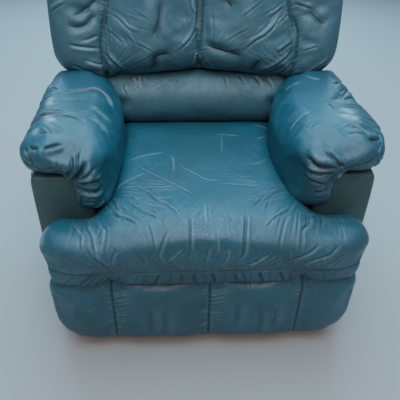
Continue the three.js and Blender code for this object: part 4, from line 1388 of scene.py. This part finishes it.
@dataclass
class Cover:
    """Leather stretched over a part of the frame, open on one side.

    Attributes:
        name: The new piece's name.
        node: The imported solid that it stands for.
        body: The body that it rides on.
        blocks: Corners of the rounded blocks that it is made of.
        opening: Direction of the open side.
        bevel: Radius of the edges.
        voxel: Size of the remesh.
        dome: How far the middle of each face stands out.
        leans: Whether it is a piece of the back, modelled upright.
    """

    name: str
    node: str
    body: Body
    blocks: Sequence[tuple[Point, Point]]
    opening: Point
    bevel: float = 0.018
    voxel: float = 0.008
    dome: float = 0.003
    leans: bool = False

    def build(self) -> None:
        """Makes the cover from its blocks to its finish."""
        corners = enumerate(self.blocks)
        obj = join(self.name, [block(f"part_{i}", low, high, self.bevel, 3) for i, (low, high) in corners])
        apply_modifier(obj, "REMESH", mode="VOXEL", voxel_size=self.voxel)
        apply_modifier(obj, "SMOOTH", factor=0.5, iterations=3)
        self.cut_open(obj)
        apply_modifier(obj, "SOLIDIFY", thickness=LEATHER_WALL, offset=-1.0)
        if self.leans:
            upright.lean(obj)
        clay = Clay(obj)
        self.dress(clay)
        clay.write()
        obj.data.shade_smooth()
        obj.name = obj.data.name = self.name
        obj.data.materials.clear()
        obj.data.materials.append(finishes.cover)
        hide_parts(self.node)
        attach(obj, self.body.value)
        log.info("%s: %d faces", self.name, len(obj.data.polygons))

    def cut_open(self, obj: bpy.types.Object) -> None:
        """Removes the faces on the open side.

        Args:
            obj: The closed blank.
        """
        activate(obj)
        bpy.ops.object.mode_set(mode="EDIT")
        bpy.ops.mesh.select_mode(type="FACE")
        mesh = bmesh.from_edit_mesh(obj.data)
        way = Vector(self.opening)
        for face in mesh.faces:
            face.select = face.normal.dot(way) > 0.75
        bmesh.update_edit_mesh(obj.data)
        bpy.ops.mesh.delete(type="FACE")
        bpy.ops.object.mode_set(mode="OBJECT")

    def dress(self, clay: Clay) -> None:
        """Lets the leather swell gently between the edges.

        Args:
            clay: The cover's points.
        """
        low, high = clay.points.min(0), clay.points.max(0)
        u = 2 * (clay.points - low) / (high - low) - 1
        n = np.abs(clay.normals)
        swell = np.prod(np.where(n > 0.5, 1.0, 1 - u**4), axis=1)
        x, y, z = clay.xyz
        noise = 0.5 + 0.5 * np.sin(9 * x + 7 * y + 11 * z)
        clay.push(self.dome * swell * (0.7 + 0.6 * noise))


# ---- Finishes --------------------------------------------------------------------------------------


@dataclass(frozen=True)
class Leather:
    """A leather's colours and gloss.

    Attributes:
        name: The material's name.
        base: Colour where it is clean.
        shade: Colour of its darker mottling; a darker share of it is the painted shade in its creases.
        worn: Colour where the finish is rubbed off, and of the painted sheen on the arms.
        roughness: Roughness where it is clean.
        coat: Weight of its clear finish.
    """

    name: str
    base: Colour
    shade: Colour
    worn: Colour
    roughness: float = 0.45
    coat: float = 0.16


@dataclass(frozen=True)
class Timber:
    """A timber's colours and gloss.

    Attributes:
        name: The material's name.
        pale: Colour of its early wood.
        dark: Colour of its late wood.
        roughness: Roughness where it is clean.
        coat: Weight of its varnish.
    """

    name: str
    pale: Colour
    dark: Colour
    roughness: float
    coat: float


@dataclass(frozen=True)
class Hard:
    """A metal's or plastic's colours and gloss.

    Attributes:
        name: The material's name.
        base: Colour of the whole surface.
        bare: Colour where it is chipped, rusty or scuffed.
        roughness: Roughness where it is clean.
        threshold: Noise above which it is chipped: higher is rarer.
        metal: How metallic the whole surface is.
        bare_metal: How metallic the chips are.
    """

    name: str
    base: Colour
    bare: Colour
    roughness: float
    threshold: float
    metal: float
    bare_metal: float


class Nodes:
    """Shortcuts for building one node tree."""

    def __init__(self, tree: bpy.types.NodeTree) -> None:
        """Keeps the tree.

        Args:
            tree: The tree to build in.
        """
        self.tree = tree

    def add(self, kind: str, inputs: dict[str, object] | None = None, **settings: object) -> bpy.types.Node:
        """Adds a node.

        Args:
            kind: Its type, without the ShaderNode prefix.
            inputs: Values or sockets for its inputs, by name or by number.
            **settings: Its properties.

        Returns:
            The node.
        """
        node = self.tree.nodes.new("ShaderNode" + kind)
        for key, value in settings.items():
            setattr(node, key, value)
        self.feed(node, inputs or {})
        return node

    def feed(self, node: bpy.types.Node, inputs: dict[str, object]) -> None:
        """Links sockets to a node's inputs, or sets the inputs' values.

        Args:
            node: The node.
            inputs: Values or sockets for its inputs, by name or by number.
        """
        for key, value in inputs.items():
            if isinstance(value, bpy.types.NodeSocket):
                self.tree.links.new(value, node.inputs[key])
            else:
                node.inputs[key].default_value = value

    def noise(self, scale: float, detail: float = 2.0, roughness: float = 0.5) -> bpy.types.NodeSocket:
        """A noise on object coordinates. Returns its value socket."""
        where = self.add("TexCoord").outputs["Object"]
        inputs = {"Vector": where, "Scale": scale, "Detail": detail, "Roughness": roughness}
        return self.add("TexNoise", inputs).outputs[0]

    def ramp(self, value: object, low: float, high: float) -> bpy.types.NodeSocket:
        """Maps low..high to 0..1 with a smooth step. Returns the result's socket."""
        inputs = {0: value, 1: low, 2: high, 3: 0.0, 4: 1.0}
        return self.add("MapRange", inputs, interpolation_type="SMOOTHSTEP").outputs[0]

    def mix(self, factor: object, a: object, b: object) -> bpy.types.NodeSocket:
        """Mixes two colours. Returns the result's socket."""
        return self.add("Mix", {0: factor, 6: a, 7: b}, data_type="RGBA").outputs[2]

    def math(self, operation: str, a: object, b: object = 0.0) -> bpy.types.NodeSocket:
        """A math node. Returns its result's socket."""
        return self.add("Math", {0: a, 1: b}, operation=operation).outputs[0]


class Finishes:
    """Every material of the chair, and the node groups that they share.

    Attributes:
        TIMBER_DUST: Colour of the dust on timber.
        HARD_DUST: Colour of the dust on metal and plastic.
        CREASE_SHADE: Brightness of the painted shade in a crease, as a share of the leather's shade.
    """

    TIMBER_DUST = (0.42, 0.39, 0.35, 1)
    HARD_DUST = (0.30, 0.28, 0.25, 1)
    CREASE_SHADE = 0.45

    def __init__(self) -> None:
        """Builds the groups and the materials."""
        self.grain = self.grain_group()
        self.mottle = self.mottle_group()
        teal = ((0.024, 0.104, 0.150, 1), (0.020, 0.066, 0.086, 1), (0.34, 0.45, 0.50, 1))
        # The back's paler leather: partly fading, and partly painted light for the stronger light that the
        # back pieces catch.
        pale = ((0.062, 0.150, 0.195, 1), (0.040, 0.094, 0.118, 1), (0.36, 0.46, 0.50, 1))
        dark = ((0.056, 0.108, 0.110, 1), (0.032, 0.066, 0.067, 1), (0.15, 0.21, 0.21, 1))
        self.cushion = self.leather(Leather("cushion_leather", *teal))
        self.faded = self.leather(Leather("faded_and_lit_leather", *pale, 0.47, 0.12))
        self.cover = self.leather(Leather("cover_leather", *dark, 0.5, 0.1))
        self.abrasion = self.abrasion_group()
        pine = Timber(Slot.FRAME.value, (0.52, 0.36, 0.20, 1), (0.30, 0.18, 0.085, 1), 0.68, 0.0)
        oak = Timber(Slot.GRIP.value, (0.23, 0.105, 0.040, 1), (0.10, 0.040, 0.015, 1), 0.38, 0.5)
        paint, steel = (0.030, 0.031, 0.034, 1), (0.42, 0.41, 0.39, 1)
        black = Hard(Slot.MECHANISM.value, paint, steel, 0.46, 0.62, 0.0, 0.9)
        wire = Hard(Slot.SPRING.value, (0.33, 0.32, 0.30, 1), (0.13, 0.055, 0.022, 1), 0.40, 0.60, 0.9, 0.05)
        glide = Hard(Slot.GLIDE.value, (0.022, 0.022, 0.023, 1), (0.12, 0.12, 0.11, 1), 0.52, 0.58, 0.0, 0.0)
        self.by_slot = {Slot.CUSHION.value: self.cushion, Slot.COVER.value: self.cover}
        self.by_slot.update({look.name: self.timber(look) for look in (pine, oak)})
        self.by_slot.update({look.name: self.hard(look) for look in (black, wire, glide)})

    def paint_frame(self, nodes: dict[str, bpy.types.Object]) -> None:
        """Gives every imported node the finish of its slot.

        Args:
            nodes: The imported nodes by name.
        """
        for obj in nodes.values():
            for holder in obj.material_slots:
                holder.material = self.by_slot[holder.material.name.split(".")[0]]
        log.info("painted %d frame nodes", len(nodes))

    def group(
        self, name: str, inputs: dict[str, float], outputs: Sequence[str]
    ) -> tuple[bpy.types.NodeTree, Nodes]:
        """Starts a node group whose sockets all hold a float.

        Args:
            name: Its name.
            inputs: Its inputs and their defaults.
            outputs: Its outputs.

        Returns:
            The group and its builder.
        """
        tree = bpy.data.node_groups.new(name, "ShaderNodeTree")
        for key, value in inputs.items():
            socket = tree.interface.new_socket(key, in_out="INPUT", socket_type="NodeSocketFloat")
            socket.default_value = value
        for key in outputs:
            tree.interface.new_socket(key, in_out="OUTPUT", socket_type="NodeSocketFloat")
        tree.nodes.new("NodeGroupInput")
        tree.nodes.new("NodeGroupOutput")
        return tree, Nodes(tree)

    def begin(self, name: str) -> tuple[bpy.types.Material, bpy.types.Node, Nodes]:
        """Starts a material. Returns it, its shader and its builder."""
        material = bpy.data.materials.new(name)
        material.use_nodes = True
        return material, material.node_tree.nodes["Principled BSDF"], Nodes(material.node_tree)

    def grain_group(self) -> bpy.types.NodeTree:
        """Leather's height: pebbled grain, pores and fine wrinkles. Returns the group."""
        tree, nodes = self.group("leather_grain", {"Wrinkles": 1.0, "Pebbles": 1.0}, ["Height"])
        given, result = tree.nodes["Group Input"], tree.nodes["Group Output"]
        where = nodes.add("TexCoord").outputs["Object"]
        bend = nodes.noise(9.0, 3.0)
        warped = nodes.add("VectorMath", {0: where, 1: bend}, operation="ADD").outputs[0]
        close = {"Vector": where, "Scale": 620.0, "Smoothness": 0.6}
        pebbles = nodes.add("TexVoronoi", close, feature="SMOOTH_F1")
        cells = nodes.add("TexVoronoi", {"Vector": warped, "Scale": 46.0}, feature="DISTANCE_TO_EDGE")
        lines = nodes.ramp(cells.outputs["Distance"], 0.0, 0.09)
        patches = nodes.ramp(nodes.noise(5.0, 2.0), 0.45, 0.65)
        fine = nodes.math("MULTIPLY", nodes.math("MULTIPLY", lines, patches), 0.30)
        stretch = {"Vector": warped, "Rotation": (0.3, 0.4, 0.5), "Scale": (30.0, 11.0, 17.0)}
        slant = nodes.add("Mapping", stretch).outputs[0]
        strands = nodes.add("TexVoronoi", {"Vector": slant, "Scale": 1.0}, feature="DISTANCE_TO_EDGE")
        elsewhere = nodes.ramp(nodes.noise(3.4, 2.0), 0.42, 0.60)
        edges = nodes.ramp(strands.outputs["Distance"], 0.0, 0.055)
        long_lines = nodes.math("MULTIPLY", nodes.math("MULTIPLY", edges, elsewhere), 0.40)
        fine = nodes.math("ADD", fine, long_lines)
        ridges = {"Vector": warped, "Scale": 11.0, "Detail": 4.0, "Roughness": 0.55}
        soft = nodes.add("TexNoise", ridges, noise_type="RIDGED_MULTIFRACTAL").outputs[0]
        wrinkles = nodes.math("ADD", fine, nodes.math("MULTIPLY", soft, 0.42))
        wrinkles = nodes.math("MULTIPLY", wrinkles, given.outputs["Wrinkles"])
        small = nodes.math("MULTIPLY", pebbles.outputs["Distance"], given.outputs["Pebbles"])
        height = nodes.math("ADD", wrinkles, nodes.math("MULTIPLY", small, 0.12))
        nodes.feed(result, {"Height": height})
        return tree

    def mottle_group(self) -> bpy.types.NodeTree:
        """Uneven dye, handling marks with painted sheen, and the painted shade of creases, as masks. Returns
        the group.
        """
        tree, nodes = self.group("leather_mottle", {}, ["Tone", "CreaseShade", "WornAndSheen"])
        result = tree.nodes["Group Output"]
        broad = nodes.ramp(nodes.noise(3.2, 3.0, 0.6), 0.36, 0.68)
        fine = nodes.ramp(nodes.noise(38.0, 4.0, 0.65), 0.35, 0.7)
        tone = nodes.math("ADD", nodes.math("MULTIPLY", broad, 0.7), nodes.math("MULTIPLY", fine, 0.3))
        # Painted shade in creases and seams.
        crease = nodes.add("Attribute", attribute_name="crease").outputs["Fac"]
        wear = nodes.add("Attribute", attribute_name="wear").outputs["Fac"]
        broken = nodes.ramp(nodes.noise(90.0, 3.0, 0.7), 0.30, 0.62)
        # Rubbed wear and painted sheen, broken up by noise.
        worn = nodes.math("MULTIPLY", wear, nodes.math("ADD", nodes.math("MULTIPLY", broken, 0.6), 0.4))
        nodes.feed(result, {"Tone": tone, "CreaseShade": crease, "WornAndSheen": worn})
        return tree

    def abrasion_group(self) -> bpy.types.NodeTree:
        """Chips, dust and unevenness on hard surfaces. Returns the group."""
        tree, nodes = self.group("abrasion", {"Threshold": 0.6}, ["Chips", "Dust", "Height"])
        given, result = tree.nodes["Group Input"], tree.nodes["Group Output"]
        spots = nodes.noise(55.0, 5.0, 0.7)
        high = nodes.math("ADD", given.outputs["Threshold"], 0.04)
        step = nodes.add("MapRange", {0: spots, 1: given.outputs["Threshold"], 2: high, 3: 0.0, 4: 1.0})
        dust = nodes.ramp(nodes.noise(7.0, 4.0, 0.6), 0.40, 0.75)
        nodes.feed(result, {"Chips": step.outputs[0], "Dust": dust, "Height": nodes.noise(260.0, 3.0, 0.6)})
        return tree

    def timber(self, look: Timber) -> bpy.types.Material:
        """Builds one timber.

        Args:
            look: Its colours and gloss.

        Returns:
            The material.
        """
        material, shader, nodes = self.begin(look.name)
        where = nodes.add("TexCoord").outputs["Object"]
        along = nodes.add("Mapping", {"Vector": where, "Scale": (7.0, 42.0, 42.0)}).outputs[0]
        rings = {"Vector": along, "Scale": 1.6, "Detail": 5.0, "Distortion": 0.8}
        figure = nodes.add("TexNoise", rings).outputs[0]
        fibre = nodes.add("TexNoise", {"Vector": along, "Scale": 14.0, "Detail": 3.0}).outputs[0]
        grain = nodes.math("ADD", nodes.math("MULTIPLY", figure, 0.7), nodes.math("MULTIPLY", fibre, 0.3))
        wear = nodes.add("Group", {"Threshold": 0.66}, node_tree=self.abrasion)
        colour = nodes.mix(nodes.ramp(grain, 0.38, 0.62), look.dark, look.pale)
        dust = nodes.math("MULTIPLY", wear.outputs["Dust"], 0.18)
        colour = nodes.mix(dust, colour, self.TIMBER_DUST)
        rough = nodes.math("ADD", dust, look.roughness)
        bump = nodes.add("Bump", {"Height": grain, "Distance": 0.001, "Strength": 0.35}).outputs["Normal"]
        finish = {"Base Color": colour, "Roughness": rough, "Coat Weight": look.coat, "Normal": bump}
        nodes.feed(shader, finish)
        return material

    def hard(self, look: Hard) -> bpy.types.Material:
        """Builds one metal or plastic.

        Args:
            look: Its colours and gloss.

        Returns:
            The material.
        """
        material, shader, nodes = self.begin(look.name)
        wear = nodes.add("Group", {"Threshold": look.threshold}, node_tree=self.abrasion)
        colour = nodes.mix(wear.outputs["Chips"], look.base, look.bare)
        colour = nodes.mix(nodes.math("MULTIPLY", wear.outputs["Dust"], 0.16), colour, self.HARD_DUST)
        metal = look.metal
        if look.bare_metal != look.metal:
            shine = nodes.math("MULTIPLY", wear.outputs["Chips"], look.bare_metal - look.metal)
            metal = nodes.math("ADD", shine, look.metal)
        rough = nodes.math("ADD", nodes.math("MULTIPLY", wear.outputs["Dust"], 0.22), look.roughness)
        relief = {"Height": wear.outputs["Height"], "Distance": 0.0004, "Strength": 0.4}
        bump = nodes.add("Bump", relief).outputs["Normal"]
        nodes.feed(shader, {"Base Color": colour, "Metallic": metal, "Roughness": rough, "Normal": bump})
        return material

    def leather(self, look: Leather) -> bpy.types.Material:
        """Builds one leather.

        Args:
            look: Its colours and gloss.

        Returns:
            The material.
        """
        material, shader, nodes = self.begin(look.name)
        mottle = nodes.add("Group", node_tree=self.mottle)
        colour = nodes.mix(nodes.math("MULTIPLY", mottle.outputs["Tone"], 0.75), look.shade, look.base)
        # Painted shade in creases and seams: the colour is drawn towards a darker share of the shade colour.
        crease_shade = tuple(self.CREASE_SHADE * value for value in look.shade[:3]) + (1.0,)
        colour = nodes.mix(nodes.math("MULTIPLY", mottle.outputs["CreaseShade"], 0.85), colour, crease_shade)
        # Rubbed wear and the painted sheen on the arms turn the colour pale.
        colour = nodes.mix(nodes.math("MULTIPLY", mottle.outputs["WornAndSheen"], 0.8), colour, look.worn)
        rough = nodes.math("MULTIPLY", mottle.outputs["Tone"], -0.10)
        rough = nodes.math("ADD", rough, nodes.math("MULTIPLY", mottle.outputs["WornAndSheen"], 0.15))
        rough = nodes.math("ADD", rough, look.roughness + 0.05)
        grain = nodes.add("Group", node_tree=self.grain).outputs["Height"]
        bump = nodes.add("Bump", {"Height": grain, "Distance": 0.0022, "Strength": 0.55}).outputs["Normal"]
        finish = {"Base Color": colour, "Roughness": rough, "Normal": bump}
        nodes.feed(shader, {**finish, "Coat Weight": look.coat, "Coat Roughness": 0.42})
        return material


@dataclass
class Stage:
    """The floor, lights and camera.

    Attributes:
        floor_colour: The floor's colour.
        camera_place: Where the camera stands.
        tilt: How far it looks down, in degrees.
        yaw: How far it is turned to its right, in degrees.
        roll: How far it is rolled, in degrees.
        lens: Its focal length in millimetres, on a sensor 36 mm wide.
    """

    SOFTBOXES = (
        ("sky_softbox", (0.0, 3.2, 3.0), (0.0, 0.0, 0.5), 4.0, 300.0, (0.26, 0.70, 1.0)),
        ("top_softbox", (0.0, -0.2, 4.2), (0.0, 0.0, 0.5), 3.6, 215.0, (0.44, 0.78, 1.0)),
        ("front_softbox", (0.0, -3.2, 4.2), (0.0, 0.2, 0.8), 3.0, 120.0, (1.0, 0.92, 0.88)),
    )

    floor_colour: Colour = (0.375, 0.340, 0.325, 1.0)
    camera_place: Point = (-0.074, -1.286, 1.207)
    tilt: float = 35.9
    yaw: float = 3.4
    roll: float = 1.2
    lens: float = 41.2

    def build(self) -> None:
        """Makes the floor, the lights and the camera."""
        self.floor()
        self.lights()
        self.camera()

    def floor(self) -> None:
        """A large plain floor."""
        deselect()
        bpy.ops.mesh.primitive_plane_add(size=24.0)
        floor = bpy.context.object
        floor.name = "floor"
        material = bpy.data.materials.new("floor")
        material.use_nodes = True
        shader = material.node_tree.nodes["Principled BSDF"]
        shader.inputs["Base Color"].default_value = self.floor_colour
        shader.inputs["Roughness"].default_value = 0.85
        floor.data.materials.append(material)

    def lights(self) -> None:
        """Cool softboxes behind and above, a warmer fill in front, and a pale surround."""
        world = bpy.data.worlds.new("surround")
        bpy.context.scene.world = world
        world.use_nodes = True
        background = world.node_tree.nodes["Background"]
        background.inputs["Color"].default_value = (0.68, 0.80, 0.92, 1.0)
        background.inputs["Strength"].default_value = 0.27
        for row in self.SOFTBOXES:
            self.softbox(*row)

    def softbox(self, name: str, place: Point, aim: Point, size: float, power: float, colour: Point) -> None:
        """One square area light.

        Args:
            name: Its name.
            place: Where it stands.
            aim: The point that it faces.
            size: Its side in metres.
            power: Its power in watts.
            colour: Its colour.
        """
        data = bpy.data.lights.new(name, "AREA")
        data.size, data.energy, data.color = size, power, colour
        light = bpy.data.objects.new(name, data)
        bpy.context.scene.collection.objects.link(light)
        light.location = place
        light.rotation_euler = (Vector(aim) - Vector(place)).to_track_quat("-Z", "Y").to_euler()

    def camera(self) -> None:
        """The camera, looking down on the chair from the front."""
        data = bpy.data.cameras.new("camera")
        data.lens, data.sensor_width = self.lens, 36.0
        camera = bpy.data.objects.new("camera", data)
        bpy.context.scene.collection.objects.link(camera)
        turn = Matrix.Rotation(math.radians(-self.yaw), 4, "Z")
        pitch = Matrix.Rotation(math.radians(90.0 - self.tilt), 4, "X")
        lean = Matrix.Rotation(math.radians(self.roll), 4, "Z")
        camera.matrix_world = Matrix.Translation(self.camera_place) @ turn @ pitch @ lean
        bpy.context.scene.camera = camera


finishes = Finishes()
upright = Upright()


def arm_cover(side: int) -> Cover:
    """The upholstered box of one arm.

    Args:
        side: 1 for the sitter's left arm, at +X, and -1 for the right one.

    Returns:
        The cover.
    """
    word = "left" if side > 0 else "right"
    low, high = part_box(f"arm_cover_{word}")
    return Cover(f"arm_cover_leather_{word}", f"arm_cover_{word}", Body.BASE, [(low, high)], (0.0, 0.0, -1.0))


def main() -> None:
    """Builds the chair around its frame."""
    logging.basicConfig(level=logging.INFO, format="%(message)s")
    Stage().build()
    finishes.paint_frame(frame["nodes"])
    Seat("seat_leather", "seat_cushion", Body.BASE, voxel=FINE_VOXEL, cap=0.009, ease=45).build()
    Footrest("footrest_leather", "footrest_pad", Body.FOOTREST, voxel=FINE_VOXEL).build()
    for word, side, shape in (("right", -1, RIGHT_ARM), ("left", 1, LEFT_ARM)):
        names = (f"arm_leather_{word}", f"arm_pad_{word}")
        ArmPad(*names, Body.BASE, voxel=FINE_VOXEL, side=side, shape=shape).build()
    Pillow("pillow_leather", "back_pillow", Body.BACK, cap=0.022, faded=True).build()
    Lumbar("lumbar_leather", "lumbar_roll", Body.BACK, faded=True).build()
    for side in (-1, 1):
        arm_cover(side).build()
    panels = [
        ((-0.461, -0.052, 0.336), (0.461, 0.024, 0.686)),
        ((-0.291, -0.014, 0.008), (0.291, 0.024, 0.345)),
    ]
    Cover("back_cover_leather", "back_cover", Body.BACK, panels, (0.0, -1.0, 0.0), 0.012, leans=True).build()
    low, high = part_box("rear_apron")
    panel = (low, (high[0], high[1] + 0.006, high[2]))
    Cover("rear_apron_leather", "rear_apron", Body.BASE, [panel], (0.0, -1.0, 0.0), 0.004, 0.005).build()


if __name__ == "__main__":
    main()
